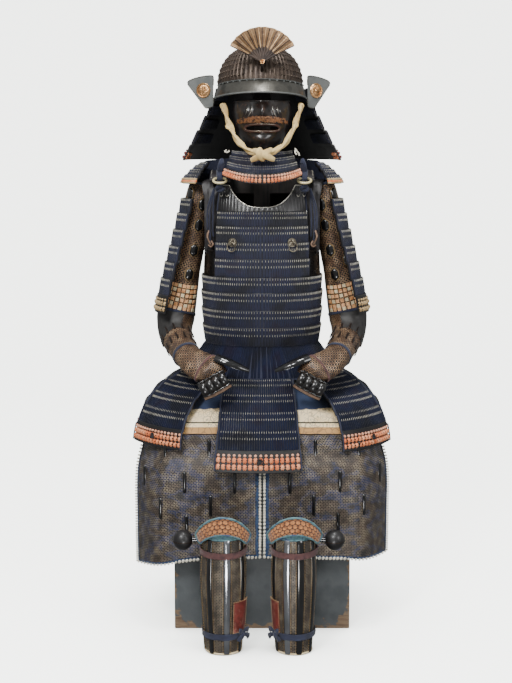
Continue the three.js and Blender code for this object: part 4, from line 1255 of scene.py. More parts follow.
arm = {
    "sleeve": [
        (-160, 4, 1162, 32, 42, 0),
        (-168, 4, 1118, 38, 48, 0),
        (-183, 6, 1040, 38, 48, 0),
        (-204, 10, 940, 39, 47, 0),
        (-219, 14, 868, 45, 50, 0),
        (-233, 14, 806, 51, 52, 0),
        (-233, -20, 760, 44, 44, 4),
        (-216, -84, 734, 38, 36, 12),
        (-196, -148, 716, 35, 31, 20),
        (-172, -188, 703, 39, 25, 26),
        (-146, -212, 693, 41, 19, 28),
    ],  # x, y, z, half width, half depth, turn
    "knots": {"pitch": 12, "rows": 2, "rowPitch": 15, "size": (11, 13), "dot": 6.5, "edge": 5},
    "sleeveLength": 0.66,  # in metres, along its middle line
    "bands": [
        ("Elbow", 0.485, 4.2, "navyCloth"), ("Wrist", 0.79, 6.0, "navyCloth"), ("Top", 0.004, 3.4, "navyCloth"),
        ("Hand", 0.994, 3.4, "purpleTape"),
    ],
    "thickness": 2.6,
    "fingers": {"x": -122, "y": -222, "z": 652, "radius": 31, "halfWidth": 38, "tilt": 28, "start": 62, "end": -112},
    "handEnd": {"x": -122, "y": -215, "z": 670, "halfWidth": 37, "halfDepth": 15},
    "thumb": [
        (-118, -214, 716, 19, 16), (-90, -225, 707, 18, 15), (-60, -227, 696, 14.5, 12), (-34, -224, 687, 8, 6.5)
    ],
    "strap": [(58, 1146), (34, 1164), (-10, 1171), (-44, 1166), (-62, 1142), (-68, 1090), (-70, 1040), (-54, 978)],
    "guard": {"top": (-212, 1122), "bottom": (-291, 818), "halfWidth": (68, 86), "bow": 32, "y": 4},
    "wing": {"x": -118, "y": -2, "inner": 40, "outer": 98, "topZ": 1213, "bottomZ": 1164, "start": 34, "end": 146},
}


def spline(table, t):  # smooth values at a place along the table, 0 to 1
    places = t * (len(table) - 1)
    i = min(int(places), len(table) - 2)
    f = places - i
    a, b, c, d = (table[min(max(k, 0), len(table) - 1)] for k in (i - 1, i, i + 1, i + 2))
    return [
        0.5 * (2 * q + (r - p) * f + (2 * p - 5 * q + 4 * r - s) * f**2 + (3 * q - p - 3 * r + s) * f**3)
        for p, q, r, s in zip(a, b, c, d)
    ]


def sleevePlace(sign, t, angle, lift=0.0):
    # a point on the sleeve, with its outward and downward directions. 0 degrees is the outer side
    # of the arm, 90 the front.
    x, y, z, wide, deep, turn = spline(arm["sleeve"], t)
    ahead, behind = spline(arm["sleeve"], min(t + 0.02, 1)), spline(arm["sleeve"], max(t - 0.02, 0))
    along = Vector((ahead[0] - behind[0], ahead[1] - behind[1], ahead[2] - behind[2])).normalized()
    level = Vector((cos(radians(turn)), 0, sin(radians(turn))))
    level = (level - along * level.dot(along)).normalized()
    forward = along.cross(level).normalized()
    if forward.y > 0.2 or (abs(forward.y) <= 0.2 and forward.z < 0):
        forward = -forward
    a = radians(angle)
    crease = 1.0 + 0.012 * sin(9 * a + 30 * t) * sin(40 * t)
    point = Vector((x, y, z)) - level * (wide * crease * cos(a)) + forward * (deep * crease * sin(a))
    away = (-level * (cos(a) / wide) + forward * (sin(a) / deep)).normalized()
    point = point + away * lift
    for vector in (point, away, along):
        vector.x *= -sign
    return point, away, along


def makeSleeves():
    plates, frames, squares, bars, squareHighlights = [], [], [], [], []
    for side, sign in bothSides:
        rows = [[sleevePlace(sign, i / 110, 360 * c / 56)[0] for c in range(56)] for i in range(111)]
        middles = (spline(arm["sleeve"], i / 110) for i in range(111))
        inside = [[(-sign * middle[0], middle[1], middle[2])] for middle in middles]
        sleeve = sheetObject(f"mailSleeve_{side}", rows, arm["thickness"], finish["sleeveMail"], inside, closed=True)
        settle(sleeve, nodes=[f"sleeve_{side}"])
        width = areaOf([row + row[:1] for row in rows]) / arm["sleeveLength"]

        def spot(t, angle, size, lift=0.2, turned=0.0):
            p, away, along = sleevePlace(sign, t, angle, lift)
            across = along.cross(away)
            return (p, along * cos(turned) + across * sin(turned), away, size)

        for i in range(4):  # dark plates down the upper arm, each in a copper cord
            for angle, shift in ((50, 0.0), (108, 0.035), (-60, 0.02)):
                t = 0.08 + 0.068 * i + shift
                plates.append(spot(t, angle, (24, 35, 4.4), 0.6))
                frames.append(spot(t, angle, (30, 42, 2.4)))
        for i in range(6):  # the lattice of small gilt squares over the elbow; every third square is cream, a painted highlight
            for k in range(11):
                kind = squareHighlights if (i + k) % 3 == 0 else squares
                kind.append(spot(0.365 + 0.0185 * i, -10 + 15.5 * k, (9.2, 9.2, 2.6)))
        for k in range(9):  # forearm splints
            for t in (0.64, 0.71):
                bars.append(spot(t, -70 + 31 * k, (6.5, 36, 3.2)))

        for name, t, wide, cloth in arm["bands"]:
            ring = [sleevePlace(sign, t, 360 * k / 48, 0.6)[:2] for k in range(48)]
            settle(edging(f"sleeveBand{name}_{side}", ring, finish[cloth], wide, 0.4, closed=True))
        # dark leather panels wrapped round the forearm
        angles = spaced(-60, 120, 40)
        rows = [[sleevePlace(sign, t, angle, 1.1)[0] for angle in angles] for t in spaced(0.5, 0.66, 16)]
        panel = sheetObject(f"forearmLeather_{side}", rows, 1.6, finish["darkLeather"], (sign * 233, 5, 780))
        settle(panel)
    settle(scatter("armPlates", hexPlate, plates, finish["deepLacquer"]))
    settle(scatter("armPlateCords", hexPlate, frames, finish["paleBronze"]))
    settle(scatter("armSquares", tile, squares, finish["orangeGilt"]))
    settle(scatter("armCreamSquares", tile, squareHighlights, finish["creamCloth"]))
    settle(scatter("forearmSplints", splintShape, bars, finish["darkBronze"]))


def plateShape(name, sides, inset=0.72, turn=0.0):
    angles = [turn + 2 * pi * k / sides for k in range(sides)]
    vertices = []
    for r, z in ((0.5, 0.0), (0.5, 0.5), (0.5 * inset, 1.0)):
        vertices += [(r * cos(a), r * sin(a), z) for a in angles]
    faces = ringFaces(3, sides) + [[2 * sides + k for k in range(sides)], list(range(sides))[::-1]]
    shape = template(name, vertices, faces)
    rightWayOut(shape)
    return shape


hexPlate = plateShape("hexPlateTemplate", 6, turn=pi / 2)
tile = plateShape("tileTemplate", 4, 0.86, pi / 4)
rootTwo = 1.4142
for vertex in tile.data.vertices:  # a square's corner radius is longer than its half side
    vertex.co.x *= rootTwo
    vertex.co.y *= rootTwo


def leather(name, colours, roughness, pore=1.8, scratch=None):
    # Smoked and lacquered deer leather: fine pores, soft sheen and a few rubbed places.
    material, tree, shader = newMaterial(name, roughness)
    where = place(tree)
    colour = mottled(tree, where, 24, colours, detail=5)
    if scratch:
        marks = add(
            tree, "ShaderNodeTexVoronoi", {"Vector": where, "Scale": 240.0}, feature="DISTANCE_TO_EDGE"
        ).outputs["Distance"]
        colour = blended(
            tree,
            calc(
                tree, "MULTIPLY", calc(tree, "LESS_THAN", marks, 0.03),
                between(tree, grain(tree, where, 14), 0.52, 0.6),
            ),
            colour, scratch,
        )
    colourOf(tree, shader, colour)
    pores = add(tree, "ShaderNodeTexVoronoi", {"Vector": where, "Scale": 1000 / pore}).outputs["Distance"]
    bumped(tree, shader, pores, 0.25, 0.5)
    return material


finish["darkLeather"] = leather("leatherDarkSmoked", ["#1b1a1a", "#2a2827", "#222120"], 0.55)
finish["redLeather"] = leather("leatherRedBrown", ["#54211b", "#71302a", "#5f2721"], 0.48, scratch="#a98a78")
finish["strapLeather"] = leather("leatherStrapBlack", ["#141213", "#242022", "#1b181a"], 0.52)
finish["orangeGilt"] = patinated("copperOrangeWorn", ["#c08453", "#e9b585", "#d59b69"], 0.5, 0.1, patch=16)
finish["paleBronze"] = patinated("copperBrown", ["#6d5a42", "#8d7654"], 0.42, 0.7, patch=12)
makeSleeves()


def makeHands():
    f = arm["fingers"]
    for side, sign in bothSides:
        tilt = radians(f["tilt"])
        across = Vector((cos(tilt), 0, -sign * sin(tilt)))
        up = Vector((sign * sin(tilt), 0, cos(tilt)))
        centre = Vector((-sign * f["x"], f["y"], f["z"]))

        def at(q, s, lift=0.0):
            a = radians(mix(f["start"], f["end"], s))
            knuckle = 6.0 * abs(sin(pi * 2 * (q + 1))) ** 0.6 * sin(pi * min(1, 1.6 * s + 0.1)) - 3.4
            reach = f["radius"] * (1 - 0.1 * q * q) + knuckle + lift
            return centre + across * (q * f["halfWidth"]) + up * (reach * sin(a)) + Vector((0, -reach * cos(a), 0))

        rows = [[at(q, i / 60) for q in spaced(-1, 1, 48)] for i in range(61)]
        shell = sheetObject(f"fingerGuard_{side}", rows, 2.6, finish["lacquer"], centre)
        settle(shell, nodes=[f"finger_guard_{side}"])
        line = [at(q, 0.6, 1.4) for q in spaced(-1, 1, 24)]
        settle(tubeObject(f"fingerStrap_{side}", line, finish["tanBraid"], 4.2, 8, 0.3, up=(0, -1, -0.15)))
        lines = ([at(q, s, 0.5) for q in spaced(-1, 1, 30)] for s in (0.0, 0.52, 0.69, 1.0))
        rims = [tubeObject("rim", line, finish["deepLacquer"], 2.4) for line in lines]
        settle(joined(f"fingerRims_{side}", rims))

        table = [(-sign * x, y, z, w, d) for x, y, z, w, d in arm["thumb"]]
        rows = []
        for i in range(41):
            t = i / 40
            x, y, z, wide, deep = spline(table, t)
            ahead, behind = spline(table, min(t + 0.03, 1)), spline(table, max(t - 0.03, 0))
            along = Vector([a - b for a, b in zip(ahead[:3], behind[:3])]).normalized()
            level = (Vector((0, 1, 0)) - along * along.y).normalized()
            deepWay = along.cross(level)
            if deepWay.z < 0:
                deepWay = -deepWay
            ridge = 1 + 0.04 * ((t * 4) % 1)
            angles = map(radians, spaced(-10, 190, 24))
            core = Vector((x, y, z))
            rows.append([
                core + level * (wide * ridge * cos(a)) + deepWay * (deep * ridge * sin(a)) for a in angles
            ])
        middle = [[spline(table, i / 40)[:3]] for i in range(41)]

        # the mail over the back of the hand, from the sleeve's end to the finger guard
        cover = []
        last = arm["handEnd"]
        for t in spaced(0, 1, 24):
            ring = []
            for c in range(56):
                start = sleevePlace(sign, 1, 360 * c / 56, 0.4)[0]
                a = radians(360 * c / 56)
                end = Vector((-sign * last["x"], last["y"], last["z"]))
                end = end + across * (sign * last["halfWidth"] * cos(a)) - Vector((0, last["halfDepth"] * sin(a), 0))
                bend = Vector((0, -10 * sin(a) - 6, 6)) * sin(pi * t)
                ring.append(start.lerp(end, t) + bend)
            cover.append(ring)
        inside = [[tuple(sum(ring, Vector()) / 56)] for ring in cover]
        mail = sheetObject(f"handMail_{side}", cover, 2.0, finish["sleeveMail"], inside, closed=True)
        settle(mail)
        area = areaOf([ring + ring[:1] for ring in cover])
        thumb = sheetObject(f"thumbGuard_{side}", rows, 1.8, finish["deepLacquer"], middle)
        settle(thumb, nodes=[f"thumb_guard_{side}"])


finish["tanBraid"] = plaitedSilk("plaitedCottonTan", ["#6d5440", "#8d705a", "#7b5f4a"], 14)
makeHands()


def makeShoulders():
    guard, wing = arm["guard"], arm["wing"]
    for side, sign in bothSides:

        def guardSurface(u, s):
            q = 2 * u - 1
            half = mix(*guard["halfWidth"], s)
            x = mix(guard["top"][0], guard["bottom"][0], s) + guard["bow"] * q * q
            away = Vector((sign, 2 * q * guard["bow"] / half, 0)).normalized()
            return Vector((-sign * x, guard["y"] + q * half, mix(guard["top"][1], guard["bottom"][1], s))), away

        lacedGuard(
            f"shoulderGuardLames_{side}", f"shoulder_guard_{side}", "shoulder", guardSurface, 7, 304, 30,
            knots=arm["knots"],
        )

        def wingSurface(u, s):
            bearing = radians(mix(wing["start"], wing["end"], u))
            radius = mix(wing["inner"], wing["outer"], s**0.85)
            away = Vector((sign * sin(bearing), -cos(bearing), 1.1)).normalized()
            x = -sign * wing["x"] + sign * radius * sin(bearing)
            return Vector((x, wing["y"] - radius * cos(bearing), mix(wing["topZ"], wing["bottomZ"], s**1.25))), away

        lacedGuard(
            f"shoulderWingLames_{side}", f"shoulder_wing_{side}", "shoulder", wingSurface, 4, 95, 40,
            dash=(1.1, 3.4, 1.0),
        )
        for s, silk in ((0.89, "tanSilk"), (0.95, "salmonSilk"), (1.0, "tanSilk")):
            lift = 3.6 - 2.6 * (s - 0.9) / 0.1
            places = [(point + away * lift, away) for point, away in (wingSurface(k / 40, s) for k in range(41))]
            settle(edging(f"wingStripe{int(s * 100)}_{side}", places, finish[silk], 3.2, 0.6))


armhole = {
    "cords": ((128, 1024), (136, 1010), (142, 1040)),  # x and the height of each hanging end
    "ties": (
        ((140, -82, 1040), (144, -88, 1024), (138, -86, 1008), (133, -80, 1000)),
        ((134, -80, 1012), (129, -86, 1004), (134, -86, 997), (141, -80, 1001)),
    ),
}


def makeArmholes():
    # dark leather between the breastplate and the sleeve: a flap over the sleeve's head and a strap
    # that hangs down in front, ending in a tan cord
    for side, sign in bothSides:
        line = smoothPath([(0, y, z) for y, z in arm["strap"]], 70)
        rows = []
        for i, p in enumerate(line):
            t = i / 69
            outer, inner = mix(180, 152, min(1, t * 1.9)), mix(106, 119, min(1, t * 1.5))
            row = []
            for c in range(21):
                crease = 2.0 * noise.noise(Vector((i / 6, c / 4, sign)))
                puff = 1.5 * sin(pi * c / 20)
                row.append(Vector((sign * mix(inner, outer, c / 20), p.y + crease, p.z + puff)))
            rows.append(row)
        flap = sheetObject(f"armholeStrap_{side}", rows, 2.6, finish["strapLeather"], (sign * 140, 20, 1050))
        settle(flap)
        for k, (dx, low) in enumerate(armhole["cords"]):
            points = ((126, -86, 1150), (dx, -86, 1100), (dx + 2, -84, 1050), (dx, -78, low))
            path = smoothPath([(sign * x, y, z) for x, y, z in points], 26)
            cord = settle(tubeObject(f"armholeCord{k}_{side}", path, finish["navyCloth"], 2.4, 7))
            line = [p * mm for p in path]
            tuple(line[0])
            sum((b - a).length for a, b in zip(line, line[1:]))
        lines = (smoothPath([(sign * x, y, z) for x, y, z in points], 16) for points in armhole["ties"])
        ties = [tubeObject("tie", line, finish["tanBraid"], 2.8, 8, 0.7) for line in lines]
        settle(joined(f"armholeTie_{side}", ties))


collar = {"halfWidth": 184, "front": 62, "middle": 95, "bottom": 1156, "top": 1228, "thickness": 5}


def makeCollar():
    # a low standing collar of dark quilted cloth behind the neck, between the shoulder straps
    def at(x, s):
        q = abs(x) / 160
        high = collar["top"] - 8 * q * q - 34 * max(0, (abs(x) - 150) / 34) ** 1.5
        depth = mix(collar["middle"], collar["front"], min(q, 1) ** 2.2)
        return Vector((x, depth - 4 * s, mix(collar["bottom"], high, s)))

    widths = spaced(-collar["halfWidth"], collar["halfWidth"], 64)
    rows = [[at(x, s) for x in widths] for s in spaced(0, 1, 5)[::-1]]
    cloth = sheetObject("standingCollar", rows, collar["thickness"], finish["navyCloth"], (0, 0, 1200))
    settle(cloth)


makeShoulders()
makeArmholes()
makeCollar()
print("arms made")


helmet = {
    "place": (-5, 4, 1416), "halfWidth": 112, "halfDepth": 130, "height": 106, "wall": 3, "lean": 7, "turn": 2,
    "plates": 62,  # upright plates of the bowl, each ending in a thin ridge
    "ridge": 1.5,
    "stud": 5.6,
    "brim": {"bearing": 76, "inner": (115, 133), "outer": (124, 162)},
    "guard": [
        {"z": 1411, "halfWidth": 117, "front": -122, "back": 141},
        {"z": 1388, "halfWidth": 125, "front": -127, "back": 151},
        {"z": 1330, "halfWidth": 152, "front": -150, "back": 176},
        {"z": 1222, "halfWidth": 213, "front": -186, "back": 220},
    ],
    "knots": {"pitch": 9, "rows": 2, "rowPitch": 11, "size": (8, 10), "dot": 5, "edge": 4.5},
    "guardFrom": 80,
    "crown": [
        (0, 7.5), (6, 7.2), (9, 5.2), (10, 3.4), (15, 3.0), (17, 5.0), (20, 4.6), (22, 1.6), (24, -1.5), (24, -5),
        (0, -5),
    ],
    "turnbacks": {"right": (-1, -127, -48, 16), "left": (1, 118, -35, 32)},  # sign, x, y, turn
    "turnbackOutline": [
        (4, 0), (10, -1.6), (16, -3), (22, -2), (26, 1.5), (29, 6), (42, 22.5), (55, 39.5), (68, 56), (71, 61.5),
        (69, 67), (62, 71), (48, 75.5), (28, 79.5), (8, 81), (0, 78), (0, 60), (0, 40), (0, 20), (0, 4),
    ],
    "turnbackMiddle": (30, 44),
    "fan": {
        "y": -148, "z": 1472, "pivot": 7, "leaf": 37, "radius": 91, "spread": 63, "pleats": 10, "depth": 2.2,
        "lean": 15,
    },
}
tilt = (
    Matrix.Translation(Vector(helmet["place"]))
    @ Matrix.Rotation(radians(helmet["turn"]), 4, "Z")
    @ Matrix.Rotation(-radians(helmet["lean"]), 4, "X")
)


def bowlPoint(bearing, a, lift=0.0):  # a is the height angle, 0 at the rim and 90 at the crown
    rise = radians(a)
    stretch = helmet["halfDepth"] / helmet["halfWidth"]
    radius = helmet["halfWidth"] * max(cos(rise), 0) ** 0.82
    b = radians(bearing)
    point = Vector((radius * sin(b), -radius * stretch * cos(b), helmet["height"] * sin(rise) ** 0.95))
    level = cos(rise)
    away = Vector((
        sin(b) / helmet["halfWidth"] * level, -cos(b) / helmet["halfDepth"] * level, sin(rise) / helmet["height"]
    )).normalized()
    return tilt @ (point + away * lift), tilt.to_3x3() @ away


def makeHelmet():
    columns = helmet["plates"] * 6
    heights = [90 * (1 - (1 - i / 30) ** 1.15) for i in range(31)]
    rows = []
    for a in heights[:-1]:
        fade = min(1, (90 - a) / 22) * min(1, a / 4 + 0.3)
        row = []
        for c in range(columns):
            ridge = (1.0, 0.35, 0.0, 0.0, 0.0, 0.35)[c % 6] * helmet["ridge"] * fade
            row.append(bowlPoint(360 * c / columns, a, ridge)[0])
        rows.append(row)
    middle = Vector(helmet["place"])
    bowl = sheetObject("helmetBowl", rows, helmet["wall"], finish["russetIron"], middle, closed=True, sharp=45)
    # the crown opening is covered by a turned ring and cap
    centre, axis = bowlPoint(0, 90)[0], tilt.to_3x3()

    def crownAt(r, z, t):
        return centre + axis @ Vector((r * cos(t), r * sin(t), z))

    cap = turned("crownRing", helmet["crown"], 40, crownAt, finish["darkBronze"], 38, 0.05)
    settle(bowl, nodes=["helmet_bowl"])
    settle(cap)

    studs = []
    for c in range(helmet["plates"]):
        bearing = 360 * (c + 0.5) / helmet["plates"]
        ahead = abs((bearing + 180) % 360 - 180)
        if ahead < 26:
            continue
        for i in range(9):
            a = 6 + i * 8.2
            if i > 5 and c % 2:
                continue
            point, away = bowlPoint(bearing, a, 0.0)
            small = helmet["stud"] * (1 - 0.045 * i)
            studs.append((point, axis @ upwards, away, (small, small, 3.4)))
    for bearing, a in ((-9, 52), (10, 52), (-20, 20), (20, 20), (0, 60), (-13, 10), (14, 10)):
        point, away = bowlPoint(bearing, a, 0.6)
        studs.append((point, upwards, away, (4.2, 4.2, 3)))
    settle(scatter("bowlStuds", stud, studs, finish["russetIron"]))

    # coppery disc under the crest
    point, away = bowlPoint(0, 33, 2.0)
    disc = domeDisc("crestDisc", point, away, 12.5, 2.6, finish["brightGilt"])
    settle(disc)

    b = helmet["brim"]

    def brimPoint(bearing, s, lift=0.0):
        t = radians(bearing)
        wide, reach = mix(b["inner"][0], b["outer"][0], s), mix(b["inner"][1], b["outer"][1], s)
        drop = mix(2, 36 + 4 * cos(t), s) - 5 * sin(pi * s) * 0.6
        away = Vector((sin(t), -cos(t), 0.7)).normalized()
        return tilt @ (Vector((wide * sin(t), -reach * cos(t), -drop)) + away * lift)

    bearings = spaced(-b["bearing"], b["bearing"], 80)
    rows = [[brimPoint(bearing, i / 20) for bearing in bearings] for i in range(21)]
    brim = sheetObject("helmetBrim", rows, 2.4, finish["greyIron"], middle - Vector((0, 0, 60)))
    settle(brim, nodes=["helmet_brim"])
    settle(tubeObject("brimRoll", rows[-1], finish["dullIron"], 2.3, 10))
    bandRow = [brimPoint(bearing, 0.03, 0.6) for bearing in bearings]
    settle(tubeObject("brimBand", bandRow, finish["dullIron"], 3.0, 8, 0.5))
    rivets = []
    for bearing in spaced(-68, 68, 14):
        if abs(bearing) < 5:  # the crest's foot stands here
            continue
        away = (brimPoint(bearing, 0.12, 5) - brimPoint(bearing, 0.12)).normalized()
        rivets.append((brimPoint(bearing, 0.13, 0.2), upwards, away, (4.6, 4.6, 2.6)))
    settle(scatter("brimRivets", stud, rivets, finish["dullIron"]))

    table = helmet["guard"]
    surface = band(table, helmet["guardFrom"], 360 - helmet["guardFrom"], table[0]["z"], table[3]["z"])
    lacedGuard(
        "neckGuardLames", "neck_guard", "neck", surface, 5, 210, 90, pitch=6.6, knots=helmet["knots"], margin=0.006,
        dash=(1.2, 4.0, 1.2),
    )

    # the braids of the upper lames and the lowest lame's knots show on the inner face too,
    # towards the front. These inner knots are drawn in the paler salmon silk, not the neck's red: painted light that
    # lifts them out of the shade inside the guard.
    spots = []
    for end in (0, 1):
        for i in range(30):
            for k in range(4):
                u = abs(end - (i + 0.6) * 0.0085)
                (high, away), (low, _) = surface(u, 0.2 * k + 0.035), surface(u, 0.2 * k + 0.165)
                centre, size = (high + low) / 2 - away * (4.2 - 0.5 * (k % 2)), (5.0, (high - low).length, 2.2)
                spotsOf("neck")["braid"].append((centre, high - low, -away, size))
        for i in range(14):
            for k in range(2):
                point, away = surface(abs(end - (i + 0.6) * 0.0095), 0.925 + 0.05 * k)
                upper = surface(abs(end - (i + 0.6) * 0.0095), 0.9)[0]
                spots.append((point - away * 4.6, upper - point, -away, (8, 9.4, 3.8)))
    settle(scatter("neckInnerKnots", crossKnot, spots, finish["salmonSilk"]))


discProfile = [
    (0.0, 0.9), (0.16, 0.88), (0.2, 0.62), (0.34, 0.6), (0.5, 0.5), (0.62, 0.36), (0.7, 0.2), (0.78, 0.2),
    (0.82, 0.75), (0.92, 0.8), (1.0, 0.3), (1.0, -0.2), (0.0, -0.2),
]


def domeDisc(name, centre, away, radius, high, material):
    # a plain struck disc: raised rim, a groove, and a low dome with a beaded ring
    across = upwards.cross(away).normalized()
    upright = away.cross(across).normalized()

    def at(r, z, t):
        lift = z + (0.16 * cos(16 * t) if 0.3 < r < 0.65 and z > 0.3 else 0)
        return centre + (across * cos(t) + upright * sin(t)) * (r * radius) + away * (lift * high)

    return turned(name, discProfile, 64, at, material, 40)


def makeTurnbacks():
    centreX, centreZ = helmet["turnbackMiddle"]
    path = smoothPath([(px, 0, pz) for px, pz in helmet["turnbackOutline"]], 90, closed=True)
    for side, (sign, x, y, turn) in helmet["turnbacks"].items():
        rot = radians(sign * turn)
        ahead = Vector((sin(rot), -cos(rot), 0))
        across = Vector((cos(rot), sin(rot), 0))

        def at(px, pz, lift):
            p = across * (sign * px) + ahead * (lift + 0.001 * (px - 30) ** 2)
            return Vector((x, y, 1361)) + p + Vector((0, 0, pz))

        shares = (1.0, 0.985, 0.9, 0.7, 0.45, 0.2, 0.03)
        rings = [[(mix(centreX, p.x, s), mix(centreZ, p.z, s)) for p in path] for s in shares]
        vertices, faces = [], []
        for face in (0, 1):
            for i, ring in enumerate(rings):
                lift = (2.9 if i else 2.0) if face == 0 else (0.1 if i else 0.9)
                vertices += [at(px, pz, lift) for px, pz in ring]
        n, layers = 90, len(rings)
        for face in (0, 1):
            base = face * n * layers
            faces += ringFaces(layers, n, base)
            faces.append([base + (layers - 1) * n + k for k in range(n)])
        faces += [[k, (k + 1) % n, n * layers + (k + 1) % n, n * layers + k] for k in range(n)]
        plate = meshObject(f"turnbackPlate_{side}", [v * mm for v in vertices], faces, finish["dullIron"], sharp=50)
        rightWayOut(plate)
        finishMesh(plate, finish["dullIron"], 50)
        settle(plate, nodes=[f"turnback_{side}"])
        line = [at(p.x * 0.995, mix(centreZ, p.z, 0.995), 1.6) for p in path]
        settle(tubeObject(f"turnbackRim_{side}", line, finish["greyIron"], 1.7, closed=True))
        disc = domeDisc(f"turnbackDisc_{side}", at(27, 43, 3.0), ahead, 19.5, 3.6, finish["brightGilt"])
        settle(disc)


def makeFan():
    fan = helmet["fan"]
    lean = Matrix.Translation((0, fan["y"], fan["z"])) @ Matrix.Rotation(-radians(fan["lean"]), 4, "X")
    ahead = lean.to_3x3() @ Vector((0, -1, 0))
    columns = fan["pleats"] * 2

    def at(c, radius, lift=0.0):
        a = radians(mix(-fan["spread"], fan["spread"], c / columns))
        fold = abs((c % 2) - 1) * 2 - 1  # 1 on even lines, -1 on odd ones
        share = max(0, min(1, (radius - fan["leaf"]) / 12))
        ridge = -fold * fan["depth"] * mix(0.3, 1, share)
        reach = radius + (2.5 * (1 - abs((c % 2) - 1)) if radius > fan["radius"] - 3 else 0)  # the scalloped rim
        return lean @ Vector((reach * sin(a), ridge + lift, reach * cos(a)))

    fine = 3
    radii = [fan["leaf"], 44, 56, 68, 80, fan["radius"] - 1, fan["radius"]]
    rows = [[at(c / fine, r) for c in range(columns * fine + 1)] for r in radii]
    inner = [[at(c / fine, r, 1.5) for c in range(columns * fine + 1)] for r in radii]
    leaf = wallObject("fanLeaf", rows, inner, finish["giltBronze"], sharp=25, swap=False)
    rightWayOut(leaf)
    finishMesh(leaf, finish["giltBronze"], 25)
    settle(leaf, nodes=["fan_crest"])
    sticks = []
    for i in range(fan["pleats"] + 1):
        a = radians(mix(-fan["spread"] * 0.96, fan["spread"] * 0.96, i / fan["pleats"]))
        path = [lean @ Vector((r * sin(a), 0.6 * (i % 2), r * cos(a))) for r in (-5, 0, 10, 20, 30, 40)]
        sticks.append(
            tubeObject("stick", path, finish["darkBronze"], 2.6, 6, 0.35, ahead, taper=lambda t: 0.7 + 0.7 * t)
        )
    settle(joined("fanSticks", sticks))
    # the pleat lines: thin pale gilt tubes on the ridges are painted highlights, and dark bronze tubes in the valleys
    # are painted shade; a pale gilt tube also runs along the rim
    ridgeHighlightsAndRim, valleyShadeLines = [], []
    for c in range(columns + 1):
        path = [at(c, r, -0.4) for r in (fan["leaf"] + 1, 55, 75, fan["radius"] - 0.5)]
        found, metal, wide = (ridgeHighlightsAndRim, "paleGiltAndHighlight", 0.75) if c % 2 else (valleyShadeLines, "darkBronze", 1.3)
        found.append(tubeObject("edge", path, finish[metal], wide, 5))
    settle(joined("fanValleys", valleyShadeLines))
    rimPath = [at(c / 2, fan["radius"], 0.6) for c in range(columns * 2 + 1)]
    ridgeHighlightsAndRim.append(tubeObject("edge", rimPath, finish["paleGiltAndHighlight"], 1.1, 6))
    settle(joined("fanEdges", ridgeHighlightsAndRim))
    disc = domeDisc("fanPivot", lean @ Vector((0, -1.4, 0)), ahead, 6, 2.4, finish["brightGilt"])
    settle(disc)
    # the crest's holder: a flat forged prong from the foot of the bowl up to the fan's pivot
    foot = bowlPoint(0, 9, 0.6)[0]
    prong = smoothPath(
        [foot, foot + Vector((0, -12, 10)), lean @ Vector((0, 5, -9)), lean @ Vector((0, 3.4, 14))], 30
    )
    holder = tubeObject(
        "crestHolder", prong, finish["darkBronze"], 3.8, 8, 0.62, up=(0, -1, 0.4), taper=lambda t: 1.15 - 0.3 * t
    )
    settle(holder)


finish["paleGiltAndHighlight"] = patinated("copperGiltPaleAndHighlight", ["#b99a72", "#d8bd94"], 0.35, 0.85, patch=14, depth=0.1)
makeHelmet()
makeTurnbacks()
makeFan()
print("helmet made")


mask = {
    "y": -60,
    "levels": [
        {"z": 1374, "halfWidth": 73, "reach": 80},
        {"z": 1350, "halfWidth": 77, "reach": 86},
        {"z": 1322, "halfWidth": 75, "reach": 88},
        {"z": 1296, "halfWidth": 67, "reach": 86},
        {"z": 1272, "halfWidth": 54, "reach": 80},
        {"z": 1254, "halfWidth": 40, "reach": 70},
    ],
    "nose": {"z": 1347, "height": 22, "width": 15, "reach": 24},
    "mouth": {"width": 86, "height": 17, "z": 1305},
    "thickness": 3,
    "throat": [
        {"z": 1250, "halfWidth": 84, "front": -142, "back": 60, "sag": 6},
        {"z": 1222, "halfWidth": 98, "front": -158, "back": 60, "sag": 14},
        {"z": 1190, "halfWidth": 114, "front": -177, "back": 60, "sag": 26},
    ],
    "knots": {"pitch": 8, "rows": 1, "rowPitch": 9, "size": (8.6, 13.5), "dot": 7.4, "edge": 2.4},
    "throatEdge": 62,
    "bristles": 1500,
}


def hump(x, z, x0, z0, wide, tall):
    return exp(-(((x - x0) / wide) ** 2) - ((z - z0) / tall) ** 2)


def maskPoint(z, bearing, lift=0.0):
    level = levelAt(mask["levels"], z)
    b = radians(bearing)
    nose = mask["nose"]
    x = level["halfWidth"] * sin(b)
    rise = exp(-(((z - nose["z"]) / nose["height"]) ** 2))
    bridge = nose["reach"] * rise * exp(-((x / nose["width"]) ** 2))
    side = abs(x)
    relief = 5.12 * hump(side, z, 17, 1336, 8, 6)  # nostril wings
    relief += 3.0 * hump(side, z, 44, 1348, 15, 12)  # cheekbones
    relief += 4.2 * hump(x, z, 0, 1274, 20, 9)  # chin
    relief -= 2.4 * hump(x, z, 0, 1290, 30, 5)  # hollow under the lip
    relief += 2.6 * hump(side, z, 56, 1306, 8, 16)  # jowls
    for start, size in ((26, 1.9), (36, 1.5), (46, 1.1)):  # the curved cheek wrinkles
        bend = side - start - 0.012 * (z - 1352) ** 2
        relief += size * exp(-((bend / 1.9) ** 2)) * exp(-(((z - 1346) / 15) ** 2))
    away = Vector((sin(b), -cos(b), 0))
    return Vector((x, mask["y"] - level["reach"] * cos(b) - bridge, z)) + away * (relief + lift)


def maskBearing(x, z):
    return degrees(asin(max(-0.999, min(0.999, x / levelAt(mask["levels"], z)["halfWidth"]))))


